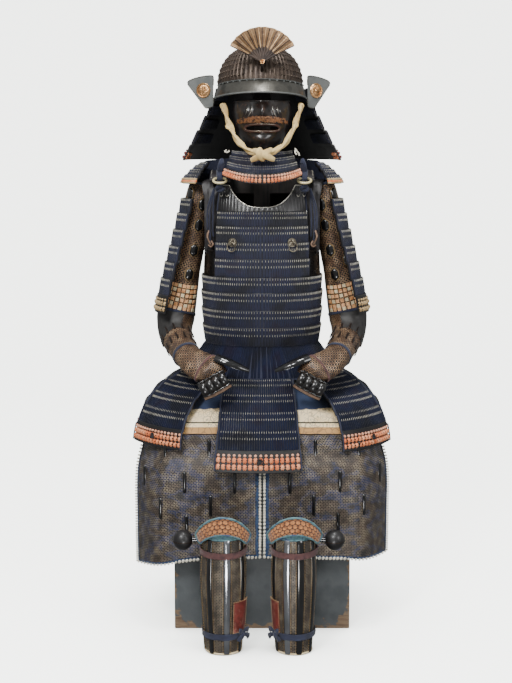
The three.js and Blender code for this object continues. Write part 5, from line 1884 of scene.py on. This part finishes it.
def makeMask():
    mouth = mask["mouth"]
    halfWidth, halfHeight = mouth["width"] / 2, mouth["height"] / 2
    rows, columns = 110, 170
    bearings = spaced(-92, 92, columns)
    vertices = [maskPoint(z, b) for z in spaced(1374, 1254, rows) for b in bearings]

    def mouthCurve(x):
        return 2.5 * (1 - (x / 43) ** 2) * 0.4

    def inMouth(x, z):
        return (abs(x) / halfWidth) ** 4 + (abs(z - mouth["z"] - mouthCurve(x)) / halfHeight) ** 2.6 < 1

    faces = []
    for r in range(rows):
        for c in range(columns):
            first = r * (columns + 1) + c
            corners = [first, first + 1, first + columns + 2, first + columns + 1]
            middle = sum((vertices[k] for k in corners), Vector()) / 4
            if not inMouth(middle.x, middle.z):
                faces.append(corners)
    shell = meshObject("faceMask", [v * mm for v in vertices], faces, finish["maskLacquer"])
    weld(shell, 0.01)
    thick = shell.modifiers.new("wall", "SOLIDIFY")
    thick.thickness, thick.offset = mask["thickness"] * mm, 1
    applied(shell)
    rightWayOut(shell)
    finishMesh(shell, finish["maskLacquer"], 60)
    settle(shell, nodes=["face_mask"])

    ring = []
    for cosine, sine in circle(96):
        x = powered(cosine, 0.5) * (halfWidth + 0.6)
        z = mouth["z"] + mouthCurve(x) + powered(sine, 0.77) * (halfHeight + 0.6)
        ring.append(maskPoint(z, maskBearing(x, z), 0.6))
    lip = tubeObject("maskLips", ring, finish["lipLacquer"], 3.4, 10, closed=True, up=(0, -1, 0))
    settle(lip)
    # a thin silver ring just in front of the lips' edge: a painted highlight
    shine = tubeObject(
        "maskLipEdge", [p + Vector((0, -3.2, 1.0)) for p in ring], finish["agedSilver"], 0.7, 6, closed=True
    )
    settle(shine)
    # silver lines along the cheek wrinkles: painted highlights on the wrinkles' ridges
    wrinkleHighlights = []
    for sign in (-1, 1):
        for start, low, high, wide in ((26, 1334, 1362, 1.5), (37, 1340, 1360, 0.9)):
            path = []
            for z in spaced(low, high, 16):
                spread = (6 if start < 30 else 4) * ((1352 - z) / 16) * (1 if z < 1352 else 0.2)
                x = start + 0.012 * (z - 1352) ** 2 + spread
                path.append(maskPoint(z, maskBearing(sign * x, z), 0.5))
            swell = lambda t: 0.25 + 0.9 * sin(pi * t)
            wrinkleHighlights.append(tubeObject("wrinkle", path, finish["silver"], wide, 6, taper=swell))
    settle(joined("maskWrinkles", wrinkleHighlights))
    edge = tubeObject("maskEdge", [maskPoint(1374, b, 0) for b in bearings[::3]], finish["maskLacquer"], 2.0, 8)
    settle(edge)

    # The moustache: bristles swept outwards and down from the middle, on a thin base.
    def arched(x, drop):  # the moustache's line, highest beside the nose
        return 1331 - 7 * (abs(x) / 60) ** 1.8 - 2.5 * exp(-((x / 7) ** 2)) - drop

    rows = []
    for t in spaced(0, 1, 4):
        line = [(x, arched(x, mix(1, 8 * (1 - 0.75 * (abs(x) / 58) ** 2), t))) for x in spaced(-58, 58, 60)]
        rows.append([maskPoint(z, maskBearing(x, z), 2.4) for x, z in line])
    base = sheetObject("moustacheBase", rows, 1.6, finish["bristle"], (0, mask["y"], 1320))
    settle(base, nodes=["moustache"])
    hairs = []
    for _ in range(mask["bristles"]):
        x = copysign(60 * rng.uniform(0.02, 1) ** 0.9, rng.uniform(-1, 1))
        z = arched(x, rng.uniform(-1.5, 10) * (1 - 0.5 * abs(x) / 60))
        point = maskPoint(z, maskBearing(x, z), 2.6 + rng.uniform(0, 2.4))
        slope = -4.0 - 4.5 * abs(x) / 60
        ahead = maskPoint(z + slope * 0.7, maskBearing(x + copysign(8, x), z + slope * 0.7), 3.6) - point
        sway = Vector((rng.uniform(-1, 1), rng.uniform(-0.9, 0.2), rng.uniform(-1.9, 1.3)))
        away = Vector((sin(radians(maskBearing(x, z))), -1, 0)).normalized()
        hairs.append((point, ahead.normalized() * 5 + sway, away, (0.8, rng.uniform(11, 22), 0.8)))
    settle(scatter("moustacheHairs", hairShape, hairs, finish["bristle"]))

    sag = lambda level, bearing: level["sag"] * cos(radians(bearing)) ** 2
    surface = band(mask["throat"], -mask["throatEdge"], mask["throatEdge"], 1250, 1190, sag)
    lacedGuard(
        "throatGuardLames", "throat_guard", "throat", surface, 4, 88, 44, pitch=4.6, knots=mask["knots"],
        dash=(1.1, 3.0, 1.0),
    )


def makeHairShape():
    vertices = [
        (-0.5, -0.5, 0), (0.5, -0.5, 0), (0, -0.5, 1), (-0.4, 0.1, 0.3), (0.4, 0.1, 0.3), (0, 0.1, 1.2), (0, 0.5, 0.2)
    ]
    faces = [[0, 1, 4, 3], [1, 2, 5, 4], [2, 0, 3, 5], [3, 4, 6], [4, 5, 6], [5, 3, 6], [2, 1, 0]]
    shape = template("hairTemplate", vertices, faces)
    rightWayOut(shape)
    return shape


def bristle():
    # Stiff animal hair, dyed brown and sun-bleached at the tips: soft sheen, light and dark hairs.
    material, tree, shader = newMaterial("animalBristleBrown", 0.7, **{"Sheen Weight": 0.2})
    colourOf(tree, shader, mottled(tree, place(tree), 9, ["#38241a", "#c9925f", "#8a5c3a"], 0.38, 0.62, 5.0))
    return material


hairShape = makeHairShape()
finish["lipLacquer"] = urushi("urushiRedBrown", ["#2c1613", "#3f211b", "#35201b"], 0.28)
finish["bristle"] = bristle()
makeMask()


chinCord = {
    "half": [
        (102, -82, 1366), (95, -100, 1342), (86, -114, 1316), (74, -128, 1290), (56, -146, 1264), (30, -162, 1246)
    ],
    "middle": (0, -168, 1240),
    "strand": {"sideways": 4.6, "outwards": 3.2, "radius": 5.6, "flat": 0.5, "twists": 3.6},
    "wraps": [  # path, radius and flatness of each turn of cloth
        ([(-23, -164, 1249), (-10, -178, 1246), (6, -182, 1238), (20, -177, 1230), (30, -168, 1226)], 8.5, 0.6),
        ([(24, -164, 1252), (12, -179, 1245), (-4, -182, 1236), (-18, -177, 1229), (-28, -169, 1224)], 8.0, 0.6),
        ([(-4, -170, 1254), (-9, -184, 1247), (-8, -188, 1238), (-3, -182, 1229), (4, -172, 1226)], 7.0, 0.6),
        ([(-82, -120, 1318), (-90, -118, 1310), (-84, -126, 1304)], 4.6, 0.5),
        ([(80, -122, 1322), (89, -118, 1314), (82, -126, 1306)], 4.6, 0.5),
        ([(-101, -86, 1369), (-106, -84, 1364), (-103, -82, 1357)], 4.0, 0.6),
        ([(101, -86, 1369), (105, -84, 1364), (103, -82, 1357)], 4.0, 0.6),
    ],
    "ends": [
        [(84, -150, 1254), (88, -153, 1248), (93, -152, 1242), (95, -150, 1236)],
        [(86, -150, 1252), (84, -154, 1244), (88, -155, 1238)],
        [(-92, -138, 1250), (-96, -142, 1246), (-89, -147, 1244), (-84, -147, 1248)],
    ],
}


def makeChinCord():
    # Two twisted strips of cream cloth from each side of the helmet, tied in a flat knot at the chin.
    half, strand = chinCord["half"], chinCord["strand"]
    line = smoothPath([(-x, y, z) for x, y, z in half] + [chinCord["middle"]] + half[::-1], 180)
    wrinkled = lambda f: 1 + 0.14 * sin(f * 61) * sin(f * 23)
    pieces = []
    for k in (0, 1):
        places = []
        for i, p in enumerate(line):
            along = (line[min(i + 1, 179)] - line[max(i - 1, 0)]).normalized()
            away = (p - Vector((0, -60, 1310))).normalized()
            away = (away - along * away.dot(along)).normalized()
            side = along.cross(away)
            t = pi * k + i / 180 * 2 * pi * strand["twists"]
            point = p + side * (strand["sideways"] * cos(t)) + away * (strand["outwards"] * sin(t))
            places.append((point, away * cos(0.5 * t) + side * sin(0.5 * t)))
        pieces.append(
            edging(f"strand{k}", places, finish["ropeCloth"], strand["radius"], strand["flat"], 10, taper=wrinkled)
        )
    swell = lambda f: 0.72 + 0.4 * sin(pi * f)
    for points, wide, flat in chinCord["wraps"]:
        line = smoothPath(points, 22)
        pieces.append(tubeObject("wrap", line, finish["ropeCloth"], wide, 10, flat, up=(0.1, -1, 0.2), taper=swell))
    settle(joined("chinCord", pieces), nodes=["chin_cord"])
    ends = [
        tubeObject("end", smoothPath(points, 16), finish["whiteCord"], 1.7, 7, taper=lambda f: 0.8 + 0.5 * f)
        for points in chinCord["ends"]
    ]
    settle(joined("throatTieEnds", ends))


makeChinCord()
print("mask made")


straps = {
    "path": [(110, 1142), (88, 1170), (40, 1190), (-16, 1194), (-58, 1186), (-82, 1170)],
    "x": 110, "halfWidth": 27, "thickness": 5,
    "toggle": {"radius": 17, "rod": 3.2, "place": (110, -107, 1171), "lean": 22},
    # the cords' points: x, how much of the cord's own shift is added to it, y and z
    "loop": [
        (110, 1, -84, 1182), (110, 1.2, -100, 1196), (110, 0.8, -116, 1186), (110, 0.7, -119, 1170),
        (110, 0.9, -112, 1156), (110, 1, -104, 1146),
    ],
    "bundle": [(110, 0.6, -100, 1186), (108, 0.5, -112, 1200), (106, 0.4, -118, 1214), (104, 0, -112, 1226)],
}
rings = {"bearing": 26.7, "z": 1011, "standOff": 5.6, "eye": 9, "eyeRadius": 4.1, "radius": 11.5, "rod": 1.7}


def makeStraps():
    for side, sign in bothSides:
        centre = smoothPath([(0, y, z) for y, z in straps["path"]], 60)
        middleX, half = sign * straps["x"], straps["halfWidth"]
        rows = [
            [
                Vector((middleX + q * half, p.y, p.z + 1.6 * (1 - abs(q) ** 4))) for q in spaced(-1, 1, 24)
            ] for p in centre
        ]
        inside = (middleX, 10, 1050)
        strap = sheetObject(f"shoulderStrap_{side}", rows, straps["thickness"] + 0.6, finish["strapLeather"], inside)
        settle(strap, nodes=[f"shoulder_strap_{side}"])
        stitches = []
        for q in (-0.86, 0.86):
            for i in range(2, 58, 2):
                along = centre[i + 1] - centre[i - 1]
                away = along.cross(Vector((1, 0, 0))).normalized()
                if away.z < 0:
                    away = -away
                stitches.append((centre[i] + Vector((middleX + q * half, 0, 1.0)), along, away, (1.3, 4.2, 1.1)))
        settle(scatter(f"strapStitches_{side}", stitch, stitches, finish["paleSilkAndGlints"]))

        toggle = straps["toggle"]
        middle = Vector((sign * toggle["place"][0], *toggle["place"][1:]))
        turn = Matrix.Rotation(radians(toggle["lean"]), 3, "X")
        ring = [middle + turn @ Vector((x, y, 0)) for x, y in circle(48, toggle["radius"])]
        ring = tubeObject(f"toggleRing_{side}", ring, finish["ivory"], toggle["rod"], 12, closed=True)
        settle(ring, nodes=[f"toggle_ring_{side}"])
        cords = []
        for name, shifts, wide, count in (("loop", (-5, 0, 5), 4.2, 30), ("bundle", (-9, 0, 9), 4.6, 24)):
            for dx in shifts:
                path = smoothPath([(sign * x + dx * share, y, z) for x, share, y, z in straps[name]], count)
                cords.append(tubeObject("cord", path, finish["navyCloth"], wide))
        knot = [
            Vector((middleX + 9 * cos(t), -110 + 4 * sin(2 * t), 1150 + 6 * sin(t)))
            for t in (2 * pi * k / 32 for k in range(32))
        ]
        cords.append(tubeObject("cord", knot, finish["navyCloth"], 4.0, closed=True))
        settle(joined(f"toggleCords_{side}", cords))

        # ring, rosette and eye
        level = levelAt([row for row in cuirass if row["z"] in (990, 1060)], rings["z"])
        bearing = sign * rings["bearing"]
        away = outOfOval(level, bearing)
        seat = onOval(level, bearing) + away * rings["standOff"]
        across = Vector((-away.y, away.x, 0))
        rosette = domeDisc(f"ringRosette_{side}", seat + away * 0.5, away, 12, 2.6, finish["agedSilver"])
        eye = [
            seat + away * (rings["eye"] + out) + Vector((0, 0, high)) for out, high in circle(24, rings["eyeRadius"])
        ]
        eye = tubeObject("eye", eye, finish["agedSilver"], 1.25, closed=True)
        stem = tubeObject("stem", [seat + away * d for d in (1, 3, 5.2)], finish["agedSilver"], 1.5)
        settle(joined(f"ringMount_{side}", [rosette, eye, stem]), nodes=[f"ring_mount_{side}"])
        hub = seat + away * rings["eye"] - Vector((0, 0, rings["radius"]))
        path = [hub + across * x + Vector((0, 0, z)) for x, z in circle(40, rings["radius"])]
        swing = tubeObject(f"swingRing_{side}", path, finish["agedSilver"], rings["rod"], 10, closed=True)
        settle(swing, body=f"{side}_ring", nodes=[f"ring_{side}"])


makeStraps()


leg = {
    "offset": {"right": -98, "left": 80},
    "shin": [
        {"z": 0, "halfWidth": 44, "front": -419, "back": -332},
        {"z": 90, "halfWidth": 50, "front": -424, "back": -324},
        {"z": 200, "halfWidth": 55, "front": -426, "back": -318},
        {"z": 296, "halfWidth": 50, "front": -416, "back": -320},
    ],
    "edge": 128,
    "cloth": 2.6,
    "splints": {"right": (-86, -38, 11, 60, 108), "left": (-106, -66, -22, 15, 58)},
    "splintHalf": 8.2,  # half of a splint's width, in degrees round the leg
    "hex": 13.5,  # pitch of the quilted hexagons
    "knee": {"edge": 77, "low": (273, 312), "high": (296, 359)},  # heights at the sides and in front
    "knob": [
        (0, 26), (6, 25.4), (12, 22.9), (18, 18.4), (22.6, 11.6), (24.6, 4), (25, 0), (24.4, -5.4), (21.6, -13),
        (16.6, -19), (10, -23.4), (4, -25.4), (0, -26),
    ],
    "ties": [("Upper", 261, 15, "purpleTape", 5, "tape"), ("Lower", 51, 15, "navyCloth", 2, "lacing")],
    "bow": [(26, 9, 7), (28, -10, 4), (-14, -12, 5), (-10, 12, 5)],  # each loop's reach across, rise and bend
}


def shinPlace(side, z, bearing, lift=0.0):
    level = levelAt(leg["shin"], z)
    away = outOfOval(level, bearing)
    p = onOval(level, bearing, 2) + away * lift
    return Vector((p.x + leg["offset"][side], p.y, p.z)), away


def hexQuilt():
    # Silk over cotton wadding, quilted in hexagons: warm orange cells with dark stitched valleys.
    material, tree, shader = newMaterial("silkQuiltedOrange", 0.85, **{"Sheen Weight": 0.3})
    u, v, _ = split(tree, place(tree, "UV"))
    size = leg["hex"] * mm
    high = 0.866  # a row's height, as a share of the hexagons' pitch
    best = None
    for shift in (0.0, 0.5):
        # distance to the nearest point of one of the two grids that make a hexagonal lattice
        x, y = (
            calc(
                tree, "SUBTRACT",
                calc(tree, "FRACT", calc(tree, "ADD", calc(tree, "DIVIDE", way, pitch), shift + 100)), 0.5,
            )
            for way, pitch in ((u, size), (v, 2 * (high * size)))
        )
        y = calc(tree, "MULTIPLY", y, 2 * high)
        far = calc(tree, "SQRT", calc(tree, "ADD", calc(tree, "MULTIPLY", x, x), calc(tree, "MULTIPLY", y, y)))
        best = far if best is None else calc(tree, "MINIMUM", best, far)
    cell = calc(tree, "SUBTRACT", 1.0, between(tree, best, 0.36, 0.5))
    cloth = mottled(tree, place(tree), 12, ["#95582f", "#c98754", "#ae7042"], detail=5)
    colourOf(tree, shader, blended(tree, cell, "#3f271a", cloth))
    puff = calc(tree, "MULTIPLY", calc(tree, "SUBTRACT", 0.5, best), 2.0)
    threads = calc(tree, "MULTIPLY", grain(tree, place(tree), 2.5), 0.25)
    bumped(tree, shader, calc(tree, "ADD", puff, threads), 2.0, 0.9)
    return material


def makeLegs():
    quilt = hexQuilt()
    studs, teeth = [], []
    for side, sign in bothSides:
        shift, rim = leg["offset"][side], leg["edge"]
        rows = [
            [shinPlace(side, z, bearing, 1.2)[0] for bearing in spaced(-rim, rim, 90)] for z in spaced(296, 0, 44)
        ]
        base = sheetObject(f"shinCloth_{side}", rows, leg["cloth"] + 1.2, finish["shinMail"], (shift, -372, 150))
        settle(base, nodes=[f"shin_guard_{side}"])
        for n, middle in enumerate(leg["splints"][side]):
            half = leg["splintHalf"] + (1.5 if abs(middle) < 30 else 0)
            rows = []
            for z in spaced(294, 3, 60):
                full = min(1, (294 - z) / 5 + 0.4)
                rows.append([
                    shinPlace(side, z, middle + half * q, 1.4 + 3.4 * sqrt(max(0, 1 - q * q)) * full)[0]
                    for q in spaced(-1, 1, 12)
                ])
            # the middle splint alone is pale polished steel, the others black lacquer: a lit copy of the same
            # splints, a painted highlight
            steel = finish["brightSteel" if n == 2 else "deepLacquer"]
            splint = sheetObject(f"shinSplint{n}_{side}", rows, 1.6, steel, (shift, -372, 150))
            settle(splint)
            for edgeWay in (-1, 1):
                for z in spaced(288, 8, 43):
                    p, away = shinPlace(side, z, middle + edgeWay * (half + 1.6), 1.9)
                    teeth.append((p, upwards, away, (3.4, 4.2, 1.8)))
        for bearing in (-rim, rim):
            word = "Out" if bearing * sign > 0 else "In"
            places = [shinPlace(side, z, bearing, 0.2) for z in spaced(296, 1, 40)]
            settle(edging(f"shinBinding{word}_{side}", places, finish["navyCloth"], 3.2, 0.8))
        for word, z, cloth, wide in (("Top", 295, "tealCloth", 2.6), ("Foot", 3.5, "creamCloth", 3.0)):
            places = [shinPlace(side, z, bearing, 0.8) for bearing in spaced(-rim, rim, 60)]
            settle(edging(f"shin{word}Edge_{side}", places, finish[cloth], wide, 0.8))

        # red-brown leather patch on the inner side, where the stirrup rubs
        start, end = (28, 88) if side == "right" else (-88, -44)
        rows = []
        for i, z in enumerate(spaced(138, 58, 30)):
            lifts = [5.6 + 0.5 * noise.noise(Vector((i, c, 0)) / 6) for c in range(27)]
            rows.append(
                [shinPlace(side, z, bearing, lift)[0] for bearing, lift in zip(spaced(start, end, 26), lifts)]
            )
        settle(sheetObject(f"shinLeather_{side}", rows, 1.8, finish["redLeather"], (shift, -372, 100)))
        seams = [(z, bearing, (0.6, 0, 1)) for bearing in (start, end) for z in spaced(136, 60, 14)]
        seams += [(z, bearing, (1, 0.0, 0.5)) for bearing in spaced(start, end, 10) for z in (138, 58)]
        for z, bearing, lean in seams:
            p, away = shinPlace(side, z, bearing, 6.0)
            studs.append((p, Vector(lean), away, (1.2, 3.4, 1.0)))

        # knee guard: padded, quilted in hexagons, bound in teal cloth
        arch = leg["knee"]
        knee, lining = [], []
        for s in spaced(0, 1, 24):
            swell = s**0.7
            level = {
                "z": 0, "halfWidth": mix(56.5, 68, swell), "front": mix(-426, -441, swell), "back": mix(-314, -306, s)
            }
            row = []
            for bearing in spaced(-arch["edge"], arch["edge"], 80):
                ahead = max(0, cos(radians(bearing))) ** 1.3
                p = onOval(level, bearing, 2)
                p.z = mix(mix(*arch["low"], ahead), mix(*arch["high"], ahead), s)
                away = (outOfOval(level, bearing) + Vector((0, 0, -0.25))).normalized()
                row.append(Vector((p.x + shift, p.y, p.z)) + away * (1.0 + 1.8 * sin(pi * s) ** 0.5))
            knee.append(row)
        for s in spaced(0, 1, 8):
            level = {"z": 0, "halfWidth": mix(50, 54, s), "front": mix(-416, -420, s), "back": mix(-322, -318, s)}
            row = []
            for bearing in spaced(-66, 66, 48):
                p = onOval(level, bearing, 2)
                top = mix(*arch["low"], cos(radians(bearing)) ** 1.3) + 12
                row.append(Vector((p.x + shift, p.y, mix(294, top, s))))
            lining.append(row)
        back = settle(
            sheetObject(f"kneeLining_{side}", lining[::-1], 2.2, finish["tealCloth"], (shift, -368, 270))
        )
        area = areaOf(lining)
        guard = sheetObject(f"kneeGuard_{side}", knee[::-1], 4.6, quilt, (shift, -368, 270))
        settle(guard, nodes=[f"knee_guard_{side}"])
        path = knee[-1] + [row[-1] for row in knee[-2:0:-1]] + knee[0][::-1] + [row[0] for row in knee[1:-1]]
        path = smoothPath(path, 200, closed=True)
        crimped = lambda t: 1 + 0.15 * sin(90 * t)
        binding = tubeObject(
            f"kneeBinding_{side}", path, finish["tealCloth"], 3.2, 8, 0.85, closed=True, taper=crimped
        )
        settle(binding)

        # knob and its peg, which goes into the shin guard's outer side
        centre = Vector((shift + sign * 101, -372, 284))

        def knobAt(r, z, t):
            return centre + Vector((r * cos(t), r * sin(t), z))

        ball = turned("ball", leg["knob"], 36, knobAt, finish["plateLacquer"], 60)
        path = [centre - Vector((sign * d, 0, 0)) for d in (20, 26, 34, 46)]
        peg = tubeObject("peg", path, finish["deepLacquer"], 6, 16, taper=lambda t: 1.25 - 0.3 * t)
        path = [centre + Vector((x, y, -2)) for x, y in circle(48, 24.9)]
        waist = tubeObject("waist", path, finish["darkBronze"], 1.1, 6, closed=True)
        settle(joined(f"kneeKnob_{side}", [ball, peg, waist]), nodes=[f"knee_knob_{side}"])

        for name, z, high, cloth, dip, slotName in leg["ties"]:
            rows = []
            for r in range(5):
                row = []
                for c in range(72):
                    bearing = 5 * c
                    fold = 0.7 * sin(r * 1.9 + c * 0.21)
                    p, _ = shinPlace(side, z, bearing, 7.0 + fold)
                    row.append(Vector((p.x, p.y, z + high * (0.5 - r / 4) - dip * cos(radians(bearing)))))
                rows.append(row)
            tie = sheetObject(f"shinTie{name}_{side}", rows, 1.8, finish[cloth], (shift, -372, z), closed=True)
            settle(tie, nodes=[f"shin_tie_{name.lower()}_{side}"])
        p, away = shinPlace(side, 50, -sign * 52, 9)
        across = Vector((-away.y, away.x, 0)) * -sign
        bows = []
        for dx, dz, bend in leg["bow"]:
            halfway = p + across * (dx * 0.5) + Vector((0, 0, dz * 0.5 + bend)) + away * 5
            path = smoothPath([p, halfway, p + across * dx + Vector((0, 0, dz)) + away * 2], 16)
            bows.append(
                tubeObject("bow", path, finish["navyCloth"], 6.5, 8, 0.4, up=away, taper=lambda f: 0.55 + 0.7 * f)
            )
        path = smoothPath(
            [p + away * out + Vector((0, 0, high)) for out, high in ((0, 9), (5, 3), (5, -4), (0, -10))], 12
        )
        bows.append(tubeObject("bow", path, finish["navyCloth"], 5.5, 8, 0.7, up=away))
        settle(joined(f"shinBow_{side}", bows))
    settle(scatter("shinTeeth", dash, teeth, finish["paleBronze"]))
    settle(scatter("shinPatchStitches", stitch, studs, finish["tanSilk"]))


finish["brightSteel"] = patinated("steelPolishedHighlight", ["#8f9094", "#a9abb0"], 0.16, 1.0, patch=60, depth=0.05)
makeLegs()
print("legs made")

lacingPieces()
print("lacing made")


studio = {
    "floor": "#eef0ec",
    "glow": 4.1,  # the backdrop's own light, so that it stays pale behind a dark object
    "eye": (-0.016, -3.82, 1.27),
    "tiltDown": 8.0,
    "lens": 74.8,
    "sky": (0.3, 0.6),  # from below and from above
    "lights": [
        ("keyLight", (-1.3, -3.2, 3.5), 1.1, 170, (0, 0, 0.9)),
        ("fillLight", (2.6, -2.6, 2.2), 1.6, 55, (0, 0, 0.8)),
        ("topLight", (0.12, -0.9, 3.9), 0.8, 62, (0, 0, 1.2)),
        ("lowCard", (-0.02, -1.3, 0.05), 0.3, 6, (0, -0.45, 0.25)),
    ],
}


def makeStudio():
    # Matte white paper, lit from behind.
    material, tree, shader = newMaterial("paperBackdrop", 0.9, colour=studio["floor"])
    shader.inputs["Emission Color"].default_value = linear(studio["floor"])
    # the glow dims where something stands close by, which leaves a soft contact shadow
    shade = add(tree, "ShaderNodeAmbientOcclusion", {"Distance": 0.5}).outputs["AO"]
    glow = calc(tree, "MULTIPLY", between(tree, shade, -0.2, 0.96), studio["glow"])
    tree.links.new(glow, shader.inputs["Emission Strength"])
    bend = [(3.2 + 2.4 * sin(a), 2.4 - 2.4 * cos(a)) for a in map(radians, range(9, 90, 9))]
    profile = [(-1.4, 0), (3.2, 0)] + bend + [(5.6, 2.4), (5.6, 7)]
    vertices = [(x, y, z) for y, z in profile for x in (-8, 8)]
    faces = [[2 * i, 2 * i + 1, 2 * i + 3, 2 * i + 2] for i in range(len(profile) - 1)]
    floor = meshObject("studioFloor", vertices, faces, material, sharp=60)
    floor.visible_diffuse = floor.visible_glossy = False

    world = bpy.data.worlds.new("studioWorld")
    bpy.context.scene.world = world
    world.use_nodes = True
    sky = world.node_tree
    height = add(
        sky, "ShaderNodeSeparateXYZ", {"Vector": add(sky, "ShaderNodeTexCoord").outputs["Generated"]}
    ).outputs[2]
    low, high = studio["sky"]
    limits = {"From Min": -0.3, "From Max": 0.7, "To Min": low, "To Max": high}
    strength = add(sky, "ShaderNodeMapRange", {"Value": height, **limits}).outputs[0]
    sky.links.new(strength, sky.nodes["Background"].inputs["Strength"])
    sky.nodes["Background"].inputs["Color"].default_value = linear("#f4f6f5")

    for name, where, size, power, target in studio["lights"]:
        light = bpy.data.lights.new(name, "AREA")
        light.shape, light.size, light.energy = "DISK", size, power
        lamp = bpy.data.objects.new(name, light)
        lamp.location = where
        lamp.rotation_euler = (Vector(target) - Vector(where)).to_track_quat("-Z", "Y").to_euler()
        bpy.context.scene.collection.objects.link(lamp)

    camera = bpy.data.cameras.new("studioCamera")
    camera.lens, camera.sensor_width, camera.clip_end = studio["lens"], 36, 60
    view = bpy.data.objects.new("studioCamera", camera)
    view.location = studio["eye"]
    view.rotation_euler = (radians(90 - studio["tiltDown"]), 0, 0)
    bpy.context.scene.collection.objects.link(view)
    bpy.context.scene.camera = view


makeStudio()
for shape in templates:
    bpy.data.objects.remove(shape)
